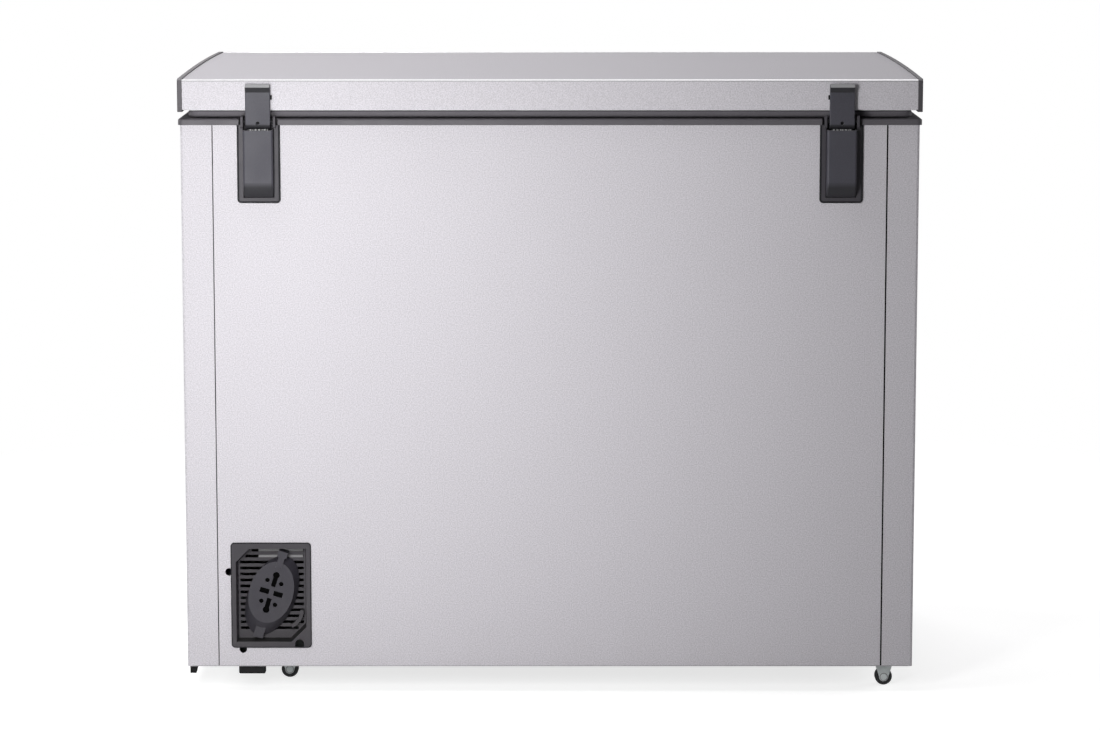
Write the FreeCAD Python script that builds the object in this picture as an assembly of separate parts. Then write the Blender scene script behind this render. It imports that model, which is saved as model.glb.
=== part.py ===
import FreeCAD, Part
import math
import os

# Chest freezer in millimetres. The origin is on the floor under the middle of the cabinet.
# +Z is up, the front faces -Y and the hinges are at the rear, +Y.

V = FreeCAD.Vector
X_AXIS = V(1, 0, 0)
Y_AXIS = V(0, 1, 0)
Z_AXIS = V(0, 0, 1)

# Cabinet
cabinet_width = 1010.0
cabinet_depth = 600.0
cabinet_height = 756.0
ground_clearance = 36.0
sheet = 0.8
cabinet_corner = 4.0
rear_return = 43.0
seam_gap = 1.4
seam_depth = 0.3
floor_sheet = 1.2

# Insulation and tank
foam_ends = 64.0
foam_front_rear = 64.0
foam_floor = 69.0
tank_sheet = 1.0
tank_corner = 25.0
tank_flange = 12.0

# Compressor bay, at the lower +X end
bay_width = 239.0
bay_height = 294.0
bay_sheet = 0.8
foam_bay = 64.0

# Collar round the top of the cabinet
collar_height = 8.5
collar_overhang = 3.0
collar_corner = 7.0
collar_edge = 2.5
ledge_width = 8.0
ledge_height = 3.0

# Lid
lid_gap = 12.5
lid_height = 41.0
lid_crown = 3.0
lid_roll = 3.0
lid_sheet = 0.8
lid_fold = 12.0
lid_open = 80.0
cap_width = 6.5
cap_proud = 1.5
cap_drop = 3.0
cap_edge = 1.0
liner_sheet = 1.5
liner_inset = 10.0
plug_depth = 9.0
plug_clearance = 9.0
gasket_side = 12.0
gasket_rear = 18.0
gasket_width = 14.0
gasket_play = 0.3

# Lid handle and lamp
handle_width = 220.0
handle_depth = 11.5
handle_height = 30.0
handle_drop = 3.0
handle_wall = 2.5
handle_slope = 18.0
grip_depth = 12.0
lamp_length = 64.0
lamp_width = 28.0
lamp_flange = 1.5
lamp_lip = 5.0
lamp_board = 1.6
lamp_board_inset = 3.0
lamp_pocket = 8.0
lamp_forward = 150.0

# Hinges
hinge_inset = 107.0
pivot_out = 4.5
pivot_up = 5.0
pin_radius = 3.0
pin_play = 0.05
pin_head_radius = 4.5
pin_head = 1.2
leaf_width = 34.0
leaf_drop = 6.0
leaf_lip = 4.0
leaf_bevel = 4.0
leaf_lip_height = 11.0
leaf_edge = 1.0
leaf_hole_radius = 2.5
leaf_hole_depth = 5.0
leaf_hole_down = 2.0
cross_pin_radius = 2.5
cross_pin_head_radius = 3.2
cross_pin_head = 2.0
cross_pin_down = 18.0
knuckle_radius = 6.5
cam_height = 10.5
cam_rise = 4.0
cam_play = 0.1
cam_steps = 9
base_width = 59.0
base_length = 107.0
base_rim = 5.0
base_plate = 2.0
base_corner = 5.0
base_edge = 1.4
pan_depth = 16.0
pan_wall = 1.8
notch_gap = 0.4
ear_width = 3.4
ear_gap = 3.4
ear_above = 13.0
ear_below = 4.0
ear_wall = 5.0
ear_front_drop = 4.0
cover_width = 41.0
cover_length = 92.4
cover_drop = 6.6
cover_out = 14.0
cover_wall = 2.0
cover_slope = 21.0
cover_set_back = 11.0
cover_edge = 3.0
cover_gap = 0.6
cover_bow_out = 0.3
cover_bow_down = 0.55
plunger_width = 28.0
plunger_depth = 8.0
plunger_height = 14.0
spring_radius = 3.6
spring_wire = 1.2
spring_length = 56.0
shelf_height = 4.0
shelf_side = 2.0
hinge_screw_radius = 2.0
hinge_screw_head_radius = 4.0
hinge_screw_head = 2.5
hinge_screw_length = 14.0
hinge_screw_down = (32.0, 90.0)

# Vent cover and cord winder, rear face, lower +X end
vent_inset = 117.5
vent_up = 101.2
vent_width = 111.6
vent_height = 148.8
vent_corner = 5.0
vent_edge = 1.2
vent_plate = 2.0
vent_rim_side = 7.1
vent_rim_end = 8.5
vent_depth = 18.0
vent_wall = 1.8
vent_draft = 2.0
vent_chamfer_top = 19.0
vent_chamfer_bottom = 21.0
vent_cut_gap = 0.4
slot_count = 14
slot_pitch = 8.5
slot_height = 4.0
slot_margin = 2.5
slot_rise = 5.5
cord_notch_radius = 6.2
cord_notch_side = 38.8
cord_notch_up = 5.6
cord_notch_lap = 0.6
guide_side = 17.5
guide_up = 40.7
guide_radius = 27.0
guide_width = 5.0
guide_height = 9.0
guide_start = 180.0
guide_sweep = 66.0
relief_radius = 5.3
relief_out = 2.4
relief_side_up = 32.8
relief_bottom_side = 39.9
winder_tilt = 17.0
winder_base_tilt = 23.0
winder_base_drop = 7.0
winder_base_gap = 4.9
winder_base_short = 33.0
winder_draw = 15.0
winder_top_short = 30.5
winder_height = 17.0
winder_foot = 3.0
winder_up = 3.8
winder_wall = 2.5
keyhole_radius = 4.7
keyhole_slot = 6.4
keyhole_centre = 25.5
keyhole_inner = 8.4
window_length = 13.0
window_width = 7.4
window_centre = 9.8
dot_radius = 3.2
dot_long = 15.4
dot_short = 9.9
finger_width = 8.7
finger_thickness = 4.0
clip_width = 13.5
clip_length = 9.0
clip_height = 17.5
clip_low = 11.0
finger_gap_top = 0.4
finger_gap_bottom = 0.7

# Casters
caster_left_inset = 136.0
caster_left_depth = 90.0
caster_right_inset = 36.0
caster_right_depth = 45.0
wheel_radius = 12.0
wheel_width = 14.0
wheel_edge = 1.5
wheel_dish_radius = 8.0
wheel_dish = 1.0
axle_radius = 3.0
axle_play = 0.05
rivet_radius = 4.6
rivet_head = 1.4
bracket_plate = 1.5
bracket_width = 22.0
bracket_gap = 0.8
bracket_nose = 6.4
bracket_shoulder = 9.0

# Skid and bumper under the +X rear corner
skid_inset = 8.5
skid_width = 11.0
skid_depth = 12.0
skid_height = 10.5
skid_taper = 2.6
skid_set_in = 2.5
skid_groove = 1.5
skid_edge = 1.2
bumper_inset = 89.3
bumper_width = 37.0
bumper_depth = 14.0
bumper_height = 12.0
bumper_set_in = 4.0
bumper_edge = 2.0

# Drain
drain_end_inset = 145.0
drain_front_inset = 150.0
drain_radius = 14.0
drain_bore = 10.0
plug_play = 0.05
plug_stem = 22.0
plug_head_radius = 17.0
plug_head = 4.0
plug_tab_width = 16.0
plug_tab_thickness = 4.0
plug_tab_height = 12.0

# Basket
basket_length = 240.0
basket_height = 190.0
basket_wall = 2.5
basket_rim = 4.0
basket_play = 1.0
basket_start = 6.0
basket_corner = 12.0
basket_slot = 6.0
basket_pitch = 16.0
basket_margin = 24.0

# Refrigerant circuit
coil_radius = 4.0
coil_gap = 0.3
groove_gap = 0.5
deep_count = 2
upper_count = 4
level_share = 0.3
coil_turn_end = 30.4
coil_turn_rear = 45.2
suction_inset = 34.8
coil_stub = 20.0
skin_tube_radius = 2.5
skin_bend = 15.0
skin_count = 4
skin_riser_inset = 70.0
skin_return_inset = 25.0
pipe_bend = 9.0
capillary_radius = 1.2
drier_inset = 35.0
drier_radius = 9.0
drier_length = 110.0
drier_neck = 12.0
drier_up = 30.0

# Compressor
compressor_inset = 120.0
compressor_y = 40.0
compressor_radius = 62.0
compressor_height = 165.0
compressor_wall = 3.0
compressor_dome = 30.0
seam_radius = 66.0
seam_height = 4.0
motor_radius = 42.0
motor_height = 95.0
feet_length = 160.0
feet_width = 120.0
feet_plate = 3.0
feet_hole_x = 66.0
feet_hole_y = 46.0
grommet_radius = 10.0
grommet_height = 12.0
bolt_radius = 3.5
bolt_play = 0.3
bolt_head_radius = 7.0
bolt_head = 4.0
port_offset = 20.0
port_up = 55.0
terminal_width = 50.0
terminal_height = 52.0
terminal_depth = 26.0
terminal_gap = 0.3
terminal_up = 50.0

# Control panel, front face, lower +X end
panel_inset = 120.0
panel_up = 84.0
panel_width = 150.0
panel_height = 110.0
panel_corner = 6.0
panel_plate = 3.0
panel_lap = 7.0
panel_slot_count = 5
panel_slot_pitch = 9.0
panel_slot_height = 4.0
panel_slot_width = 116.0
panel_slot_top = 16.0
knob_left = 34.0
knob_down = 26.0
knob_radius = 17.0
knob_depth = 9.0
knob_gap = 0.3
knob_shaft = 3.0
knob_play = 0.05
knob_shaft_length = 12.0
knob_rib = 4.0
knob_rib_depth = 3.0
thermostat_width = 46.0
thermostat_height = 40.0
thermostat_depth = 28.0
lens_radius = 3.2
lens_play = 0.05
lens_proud = 1.5
lens_depth = 5.0
lens_pitch = 15.0
lens_first = 12.0

# Limit for finding edges
tolerance = 1e-6

# Planes worked out from the driving dimensions
half_width = cabinet_width / 2
half_depth = cabinet_depth / 2
cabinet_top = ground_clearance + cabinet_height
inside_width = half_width - sheet
inside_depth = half_depth - sheet
floor_top = ground_clearance + floor_sheet
tank_width = inside_width - foam_ends
tank_depth = inside_depth - foam_front_rear
tank_bottom = floor_top + foam_floor
cavity_width = tank_width - tank_sheet
cavity_depth = tank_depth - tank_sheet
cavity_floor = tank_bottom + tank_sheet
cavity_corner = tank_corner - tank_sheet
bay_left = inside_width - bay_width
bay_top = floor_top + bay_height
step_x = bay_left - bay_sheet - foam_bay
step_z = bay_top + bay_sheet + foam_bay
collar_top = cabinet_top + collar_height
ledge_z = cabinet_top + ledge_height
lid_width = half_width + collar_overhang
lid_depth = half_depth + collar_overhang
lid_bottom = collar_top + lid_gap
lid_top = lid_bottom + lid_height
skin_end = lid_width - cap_width
plug_width = cavity_width - plug_clearance
plug_half_depth = cavity_depth - plug_clearance
plug_bottom = lid_bottom - plug_depth
hinge_offset = half_width - hinge_inset
pivot_y = half_depth + pivot_out
pivot_z = cabinet_top + pivot_up
cam_rate = cam_rise / math.radians(lid_open)
leaf_face = pivot_y + cam_height - cam_rate * math.pi / 2
leaf_top = lid_top - leaf_drop
plunger_y = pivot_y - cam_rate
plunger_top = pivot_z - cam_height
shelf_top = plunger_top - plunger_height - spring_length
base_bottom = cabinet_top - base_length
pan_half = base_width / 2 - base_rim
pan_outer = pan_half + pan_wall
pan_back = half_depth - pan_depth
pan_floor = pan_back + pan_wall
pan_bottom = base_bottom + base_rim
cover_top = cabinet_top - cover_drop
cover_bottom = cover_top - cover_length
cover_face = half_depth + cover_out
well_half = cover_width / 2 + cover_gap
well_bottom = cover_bottom - cover_gap
vent_x = half_width - vent_inset
vent_z = ground_clearance + vent_up
cord_notch_x = vent_x - cord_notch_side
guide_x = vent_x - guide_side
pan_half_height = vent_height / 2 - vent_rim_end - vent_draft
guide_z = vent_z - pan_half_height + guide_up
winder_lean = math.radians(winder_tilt)
winder_base_long = pan_half_height - winder_base_gap
winder_top_long = winder_base_long - winder_draw
clip_rise = clip_width / 2 * math.sin(winder_lean)
finger_reach_top = (pan_half_height - winder_up - clip_rise - finger_gap_top) / math.cos(winder_lean)
finger_reach_bottom = (pan_half_height + winder_up - clip_rise - finger_gap_bottom) / math.cos(winder_lean)
relief_bottom_x = vent_x + relief_bottom_side
caster_left_x = half_width - caster_left_inset
caster_left_y = half_depth - caster_left_depth
caster_right_x = -half_width + caster_right_inset
caster_right_y = half_depth - caster_right_depth
caster_places = {
    "rear_left": (caster_left_x, caster_left_y),
    "rear_right": (caster_right_x, caster_right_y),
    "front_left": (caster_left_x, -caster_left_y),
    "front_right": (caster_right_x, -caster_right_y),
}
skid_x = half_width - skid_inset
bumper_x = half_width - bumper_inset
drain_x = -half_width + drain_end_inset
drain_y = -half_depth + drain_front_inset
basket_x = -cavity_width + basket_start
basket_top = ledge_z + basket_rim
basket_bottom = basket_top - basket_height
coil_turn_x = step_x - coil_turn_end
coil_turn_y = tank_depth - coil_turn_rear
suction_x = bay_left + suction_inset
coil_x = tank_width + coil_gap + coil_radius
coil_y = tank_depth + coil_gap + coil_radius
coil_step_x = step_x + coil_gap + coil_radius
coil_bend = tank_corner + coil_gap + coil_radius
coil_reach = coil_gap + 2 * coil_radius + groove_gap
skin_riser_y = half_depth - skin_riser_inset
skin_return_y = half_depth - skin_return_inset
skin_x = inside_width - coil_gap - skin_tube_radius
skin_y = inside_depth - coil_gap - skin_tube_radius
skin_reach = coil_gap + 2 * skin_tube_radius + groove_gap
drier_x = half_width - drier_inset
compressor_x = half_width - compressor_inset
feet_bottom = floor_top + grommet_height
compressor_bottom = feet_bottom + feet_plate
compressor_top = compressor_bottom + compressor_height
panel_x = half_width - panel_inset
panel_z = ground_clearance + panel_up
knob_x = panel_x - knob_left
knob_z = panel_z - knob_down
panel_face = -half_depth - panel_plate


def levels(low, high, count):
    # heights of the laps of a tube between two planes
    step = (high - low) / count
    return [low + step * (index + level_share) for index in range(count)]


deep_levels = levels(tank_bottom, step_z, deep_count)
upper_levels = levels(step_z, cabinet_top, upper_count)
skin_levels = levels(bay_top, cabinet_top, skin_count)


def box(x0, x1, y0, y1, z0, z1):
    return Part.makeBox(x1 - x0, y1 - y0, z1 - z0, V(x0, y0, z0))


def fillet_along(body, axis, radius):
    # rounds the straight edges that run along one axis
    along = []
    for edge in body.Edges:
        ends = edge.Vertexes
        if len(ends) == 2 and isinstance(edge.Curve, Part.Line):
            direction = (ends[1].Point - ends[0].Point).normalize()
            if direction.cross(axis).Length < tolerance:
                along.append(edge)
    return body.makeFillet(radius, along)


def round_box(x0, x1, y0, y1, z0, z1, radius, axis=Z_AXIS):
    return fillet_along(box(x0, x1, y0, y1, z0, z1), axis, radius)


def slab(width, depth, z0, z1, radius):
    # a block centred on the cabinet, with round upright corners
    return round_box(-width, width, -depth, depth, z0, z1, radius)


def rod(start, axis, length, radius):
    return Part.makeCylinder(radius, length, start, axis)


def ring(start, axis, length, radius, bore):
    return rod(start, axis, length, radius).cut(rod(start, axis, length, bore))


def extrude(edges, direction):
    return Part.Face(Part.Wire(edges)).extrude(direction)


def polygon(points):
    return Part.makePolygon(points + points[:1]).Edges


def line(start, end):
    return Part.LineSegment(start, end).toShape()


def arc(start, middle, end):
    return Part.Arc(start, middle, end).toShape()


def bent_path(points, radius):
    # straight runs joined by tangent arcs of one radius
    edges = []
    start = points[0]
    for before, corner, after in zip(points, points[1:], points[2:]):
        run_in = (corner - before).normalize()
        run_out = (after - corner).normalize()
        turn = run_in.getAngle(run_out)
        reach = radius * math.tan(turn / 2)
        bow = radius / math.cos(turn / 2) - radius
        first = corner - run_in * reach
        last = corner + run_out * reach
        middle = corner + (run_out - run_in).normalize() * bow
        edges.append(line(start, first))
        edges.append(arc(first, middle, last))
        start = last
    edges.append(line(start, points[-1]))
    return Part.Wire(edges)


def tube(name, points, bend, radius):
    path = bent_path(points, bend)
    circle = Part.Wire([Part.makeCircle(radius, points[0], points[1] - points[0])])
    body = path.makePipeShell([circle], True, False)
    ideal = math.pi * radius**2 * path.Length
    print(f"{name}: volume is {body.Volume / ideal:.4f} of section times length")
    return body


def outside_shell():
    body = slab(half_width, half_depth, ground_clearance, cabinet_top, cabinet_corner)
    hollow = slab(inside_width, inside_depth, ground_clearance, cabinet_top, cabinet_corner - sheet)
    rear_edge = half_width - rear_return
    rear = box(-rear_edge, rear_edge, 0, half_depth, ground_clearance, cabinet_top)
    lap_width = panel_width / 2 - panel_lap
    lap_height = panel_height / 2 - panel_lap
    front_window = box(
        panel_x - lap_width,
        panel_x + lap_width,
        -half_depth,
        -inside_depth,
        panel_z - lap_height,
        panel_z + lap_height,
    )
    return body.cut([hollow, rear, front_window])


def inside_envelope():
    return slab(inside_width, inside_depth, ground_clearance, cabinet_top, cabinet_corner - sheet)


def vent_outline(inset):
    # opening of the vent pan, drawn on the XZ plane, with its two cut corners
    left = vent_x - vent_width / 2 + vent_rim_side + inset
    right = vent_x + vent_width / 2 - vent_rim_side - inset
    low = vent_z - vent_height / 2 + vent_rim_end + inset
    high = vent_z + vent_height / 2 - vent_rim_end - inset
    return [
        (left + vent_chamfer_bottom, low),
        (right, low),
        (right, high - vent_chamfer_top),
        (right - vent_chamfer_top, high),
        (left, high),
        (left, low + vent_chamfer_bottom),
    ]


def vent_prism(inset_rear, inset_front, rear_y, front_y):
    # the rear face of the cabinet is at the larger y, so the pan narrows towards the smaller y
    wires = []
    for inset, y in ((inset_rear, rear_y), (inset_front, front_y)):
        wires.append(Part.makePolygon([V(x, y, z) for x, z in vent_outline(inset) + vent_outline(inset)[:1]]))
    return Part.makeLoft(wires, True, True)


def rear_panel():
    edge = half_width - rear_return - seam_gap
    body = box(-edge, edge, inside_depth, half_depth, ground_clearance, cabinet_top)
    tools = []
    for side in (-1, 1):
        x = side * hinge_offset
        cut = pan_outer + notch_gap
        low = pan_bottom - pan_wall - notch_gap
        tools.append(box(x - cut, x + cut, inside_depth, half_depth, low, cabinet_top))
    window = vent_wall + vent_cut_gap
    tools.append(
        box(
            vent_x - vent_width / 2 + vent_rim_side - window,
            vent_x + vent_width / 2 - vent_rim_side + window,
            inside_depth,
            half_depth,
            vent_z - vent_height / 2 + vent_rim_end - window,
            vent_z + vent_height / 2 - vent_rim_end + window,
        )
    )
    relief_side = V(vent_x + vent_width / 2 + relief_out, inside_depth, vent_z + relief_side_up)
    relief_low = V(relief_bottom_x, inside_depth, vent_z - vent_height / 2 - relief_out)
    for centre in (relief_side, relief_low):
        tools.append(rod(centre, Y_AXIS, sheet, relief_radius))
    vent_low = vent_z - vent_height / 2
    notch = V(cord_notch_x, inside_depth, vent_low + cord_notch_up)
    tools.append(rod(notch, Y_AXIS, sheet, cord_notch_radius))
    tools.append(
        box(
            cord_notch_x - cord_notch_radius,
            cord_notch_x + cord_notch_radius,
            inside_depth,
            half_depth,
            vent_low + cord_notch_lap,
            vent_low + vent_rim_end,
        )
    )
    return body.cut(tools)


def seam_strips():
    # sealing strip between the rear panel and each folded edge of the shell
    edge = half_width - rear_return
    strips = []
    for side in (-1, 1):
        x0, x1 = sorted((side * (edge - seam_gap), side * edge))
        face = half_depth - seam_depth
        strips.append(box(x0, x1, inside_depth, face, ground_clearance, cabinet_top))
    return Part.makeCompound(strips)


def bottom_panel():
    plate = box(-half_width, bay_left, -half_depth, half_depth, ground_clearance, floor_top)
    hole = rod(V(drain_x, drain_y, ground_clearance), Z_AXIS, floor_sheet, drain_radius)
    return plate.common(inside_envelope()).cut(hole)


def compressor_tray():
    plate = box(bay_left, half_width, -half_depth, half_depth, ground_clearance, floor_top)
    holes = [
        rod(V(x, y, ground_clearance), Z_AXIS, floor_sheet, bolt_radius + bolt_play)
        for x, y in feet_places()
    ]
    return plate.common(inside_envelope()).cut(holes)


def tank_form(offset):
    # deep well at the -X end and a raised step over the compressor bay
    deep = round_box(
        -tank_width + offset,
        step_x - offset,
        -tank_depth + offset,
        tank_depth - offset,
        tank_bottom + offset,
        cabinet_top,
        tank_corner - offset,
    )
    upper = round_box(
        -tank_width + offset,
        tank_width - offset,
        -tank_depth + offset,
        tank_depth - offset,
        step_z + offset,
        cabinet_top,
        tank_corner - offset,
    )
    return deep.fuse(upper).removeSplitter()


def flange_form():
    return slab(
        tank_width + tank_flange,
        tank_depth + tank_flange,
        cabinet_top - tank_sheet,
        cabinet_top,
        tank_corner + tank_flange,
    )


def drain_hole(radius):
    return rod(V(drain_x, drain_y, ground_clearance), Z_AXIS, cavity_floor - ground_clearance, radius)


def inner_tank():
    body = tank_form(0).fuse(flange_form()).removeSplitter()
    return body.cut([tank_form(tank_sheet), drain_hole(drain_radius)])


def bay_liner():
    wall = box(bay_left - bay_sheet, bay_left, -half_depth, half_depth, floor_top, bay_top + bay_sheet)
    roof = box(bay_left, half_width, -half_depth, half_depth, bay_top, bay_top + bay_sheet)
    body = wall.fuse(roof).common(inside_envelope()).removeSplitter()
    coil_hole = coil_radius + groove_gap
    skin_hole = skin_tube_radius + groove_gap
    wall_hole = rod(V(bay_left - bay_sheet, coil_y, deep_levels[0]), X_AXIS, bay_sheet, coil_hole)
    holes = [wall_hole, rod(V(suction_x, coil_y, bay_top), Z_AXIS, bay_sheet, coil_hole)]
    for y in (skin_riser_y, skin_return_y):
        slot = box(skin_x - skin_hole, half_width, y - skin_hole, y + skin_hole, bay_top, bay_top + bay_sheet)
        holes.append(slot)
    return body.cut(holes)


def coil_points():
    # one tube round the tank: it turns back at the rear wall and at the +X wall, level after level
    points = [V(bay_left + coil_stub, coil_y, deep_levels[0])]
    outward = True
    walls = [(z, coil_step_x) for z in deep_levels] + [(z, coil_x) for z in upper_levels]
    for z, right in walls:
        lap = [
            V(coil_turn_x, coil_y, z),
            V(-coil_x, coil_y, z),
            V(-coil_x, -coil_y, z),
            V(right, -coil_y, z),
            V(right, coil_turn_y, z),
        ]
        points += lap if outward else lap[::-1]
        outward = not outward
    points.remove(V(coil_turn_x, coil_y, deep_levels[0]))
    points[-1] = V(suction_x, coil_y, upper_levels[-1])
    points.append(V(suction_x, coil_y, bay_top - coil_stub))
    return points


def coil_grooves():
    grip = coil_radius + groove_gap
    corner = tank_corner + coil_reach
    tools = []
    for z in deep_levels:
        tools.append(
            round_box(
                -tank_width - coil_reach,
                step_x + coil_reach,
                -tank_depth - coil_reach,
                tank_depth + coil_reach,
                z - grip,
                z + grip,
                corner,
            )
        )
    for z in upper_levels:
        tools.append(slab(tank_width + coil_reach, tank_depth + coil_reach, z - grip, z + grip, corner))
    rear_high = tank_depth + coil_reach
    inlet = box(0, bay_left, tank_depth, rear_high, deep_levels[0] - grip, deep_levels[0] + grip)
    outlet = box(
        suction_x - coil_bend - grip,
        suction_x + grip,
        tank_depth,
        rear_high,
        bay_top,
        upper_levels[-1] + grip,
    )
    tools += [inlet, outlet]
    laps = deep_levels + upper_levels
    for index, (low, high) in enumerate(zip(laps, laps[1:])):
        if index % 2:
            x0, x1 = coil_turn_x - coil_bend - grip, coil_turn_x + grip
            y0, y1 = tank_depth, rear_high
        else:
            wall = step_x if high in deep_levels else tank_width
            x0, x1 = wall, wall + coil_reach
            y0, y1 = coil_turn_y - coil_bend - grip, coil_turn_y + grip
        tools.append(box(x0, x1, y0, y1, low - grip, high + grip))
    return tools


def skin_points():
    # hot tube on the inside of the side and front sheets
    points = [V(skin_x, skin_riser_y, bay_top - coil_stub)]
    right_to_left = True
    for z in skin_levels:
        lap = [
            V(skin_x, skin_riser_y, z),
            V(skin_x, -skin_y, z),
            V(-skin_x, -skin_y, z),
            V(-skin_x, skin_riser_y, z),
        ]
        points += lap if right_to_left else lap[::-1]
        right_to_left = not right_to_left
    points[-1] = V(skin_x, skin_return_y, skin_levels[-1])
    points.append(V(skin_x, skin_return_y, bay_top - coil_stub))
    return points


def skin_grooves():
    grip = skin_tube_radius + groove_gap
    core_width = inside_width - skin_reach
    core_depth = inside_depth - skin_reach
    core_corner = skin_bend - skin_tube_radius - groove_gap
    rear_of_lap = skin_riser_y + grip
    tools = []
    for z in skin_levels:
        lap = box(-half_width, half_width, -half_depth, rear_of_lap, z - grip, z + grip)
        core = slab(core_width, core_depth, z - grip, z + grip, core_corner)
        tools.append(lap.cut(core))
    spans = [(bay_top, skin_levels[0], 1)]
    for index, (low, high) in enumerate(zip(skin_levels, skin_levels[1:])):
        spans.append((low, high, 1 if index % 2 else -1))
    for low, high, side in spans:
        x0, x1 = sorted((side * core_width, side * half_width))
        rise_y = skin_riser_y - skin_bend - grip
        tools.append(box(x0, x1, rise_y, rear_of_lap, low - grip, high + grip))
    top = skin_levels[-1] + grip
    return_rear = skin_return_y + grip
    return_front = skin_return_y - skin_bend - grip
    tools.append(box(core_width, half_width, skin_riser_y - skin_bend, return_rear, top - 2 * grip, top))
    tools.append(box(core_width, half_width, return_front, return_rear, bay_top, top))
    return tools


def hinge_pocket(side):
    x = side * hinge_offset
    return box(x - pan_outer, x + pan_outer, pan_back, half_depth, pan_bottom - pan_wall, cabinet_top)


def hinge_screw_points(side):
    return [V(side * hinge_offset, pan_floor, cabinet_top - down) for down in hinge_screw_down]


def insulation_foam():
    body = slab(inside_width, inside_depth, floor_top, cabinet_top, cabinet_corner - sheet)
    bay = box(bay_left - bay_sheet, half_width, -half_depth, half_depth, floor_top, bay_top + bay_sheet)
    tools = [tank_form(0), flange_form(), bay, drain_hole(drain_radius)]
    tools += coil_grooves()
    tools += skin_grooves()
    for side in (-1, 1):
        tools.append(hinge_pocket(side))
        for point in hinge_screw_points(side):
            tools.append(rod(point, -Y_AXIS, hinge_screw_length, hinge_screw_radius))
    return body.cut(tools)


def top_collar():
    body = slab(lid_width, lid_depth, cabinet_top, collar_top, collar_corner)
    rim = [e for e in body.Edges if min(v.Z for v in e.Vertexes) > collar_top - tolerance]
    body = body.makeFillet(collar_edge, rim)
    tools = [
        slab(cavity_width, cavity_depth, cabinet_top, collar_top, cavity_corner),
        slab(cavity_width + ledge_width, cavity_depth + ledge_width, ledge_z, collar_top, cavity_corner),
    ]
    for side in (-1, 1):
        x = side * hinge_offset
        cut = pan_outer + notch_gap
        tools.append(box(x - cut, x + cut, pan_back - notch_gap, lid_depth, cabinet_top, collar_top))
    return body.cut(tools)


def lid_section(inset, bottom, x):
    # the lid's cross-section: upright front and rear, rolled edges and a crowned top
    half = lid_depth - inset
    top = lid_top - inset
    roll = lid_roll - inset
    bevel = roll * (1 - math.sqrt(0.5))
    rear_low = V(x, half, bottom)
    rear_high = V(x, half, top - roll)
    rear_roll = V(x, half - bevel, top - bevel)
    rear_top = V(x, half - roll, top)
    crown = V(x, 0, top + lid_crown)
    front_top = V(x, -half + roll, top)
    front_roll = V(x, -half + bevel, top - bevel)
    front_high = V(x, -half, top - roll)
    front_low = V(x, -half, bottom)
    return [
        line(rear_low, rear_high),
        arc(rear_high, rear_roll, rear_top),
        arc(rear_top, crown, front_top),
        arc(front_top, front_roll, front_high),
        line(front_high, front_low),
        line(front_low, rear_low),
    ]


def lid_skin():
    body = extrude(lid_section(0, lid_bottom, -skin_end), X_AXIS * (2 * skin_end))
    hollow = extrude(lid_section(lid_sheet, lid_bottom, -skin_end), X_AXIS * (2 * skin_end))
    body = body.cut(hollow)
    folds = []
    for side in (-1, 1):
        y0, y1 = sorted((side * (lid_depth - lid_fold), side * (lid_depth - lid_sheet)))
        folds.append(box(-skin_end, skin_end, y0, y1, lid_bottom, lid_bottom + lid_sheet))
    return body.multiFuse(folds).removeSplitter()


def lid_end_cap(side):
    outer = side * lid_width
    bottom = lid_bottom - cap_drop
    body = extrude(lid_section(-cap_proud, bottom, side * skin_end), X_AXIS * (side * cap_width))
    outline = [e for e in body.Edges if min(side * v.X for v in e.Vertexes) > side * outer - tolerance]
    return body.makeFillet(cap_edge, outline)


def lamp_place():
    return -lamp_forward


def lamp_cut(margin, z0, z1):
    y = lamp_place()
    half_length = lamp_length / 2 - margin
    half_across = lamp_width / 2 - margin
    return box(-half_length, half_length, y - half_across, y + half_across, z0, z1)


def lid_foam():
    body = extrude(lid_section(lid_sheet, lid_bottom, -skin_end), X_AXIS * (2 * skin_end))
    plug = slab(
        plug_width - liner_sheet,
        plug_half_depth - liner_sheet,
        plug_bottom + liner_sheet,
        lid_bottom,
        cavity_corner - liner_sheet,
    )
    body = body.fuse(plug).removeSplitter()
    tools = [lamp_cut(0, plug_bottom + liner_sheet, plug_bottom + liner_sheet + lamp_pocket)]
    for side in (-1, 1):
        y0, y1 = sorted((side * (lid_depth - lid_fold), side * lid_depth))
        tools.append(box(-skin_end, skin_end, y0, y1, lid_bottom, lid_bottom + lid_sheet))
    return body.cut(tools)


def lid_liner():
    # the plate reaches the end caps and laps the folds of the lid sheet, so no foam is left bare
    plate = slab(
        skin_end,
        lid_depth - liner_inset,
        lid_bottom - liner_sheet,
        lid_bottom,
        lid_fold - liner_inset,
    )
    plug = slab(plug_width, plug_half_depth, plug_bottom, lid_bottom, cavity_corner)
    hollow = slab(
        plug_width - liner_sheet,
        plug_half_depth - liner_sheet,
        plug_bottom + liner_sheet,
        lid_bottom,
        cavity_corner - liner_sheet,
    )
    lamp = lamp_cut(lamp_lip, plug_bottom, plug_bottom + liner_sheet)
    return plate.fuse(plug).removeSplitter().cut([hollow, lamp])


def lid_gasket():
    outer_width = lid_width - gasket_side
    outer_depth = lid_depth - gasket_rear
    low = collar_top + gasket_play
    high = lid_bottom - liner_sheet
    body = slab(outer_width, outer_depth, low, high, gasket_width)
    core = slab(outer_width - gasket_width, outer_depth - gasket_width, low, high, gasket_width / 2)
    return body.cut(core)


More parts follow.
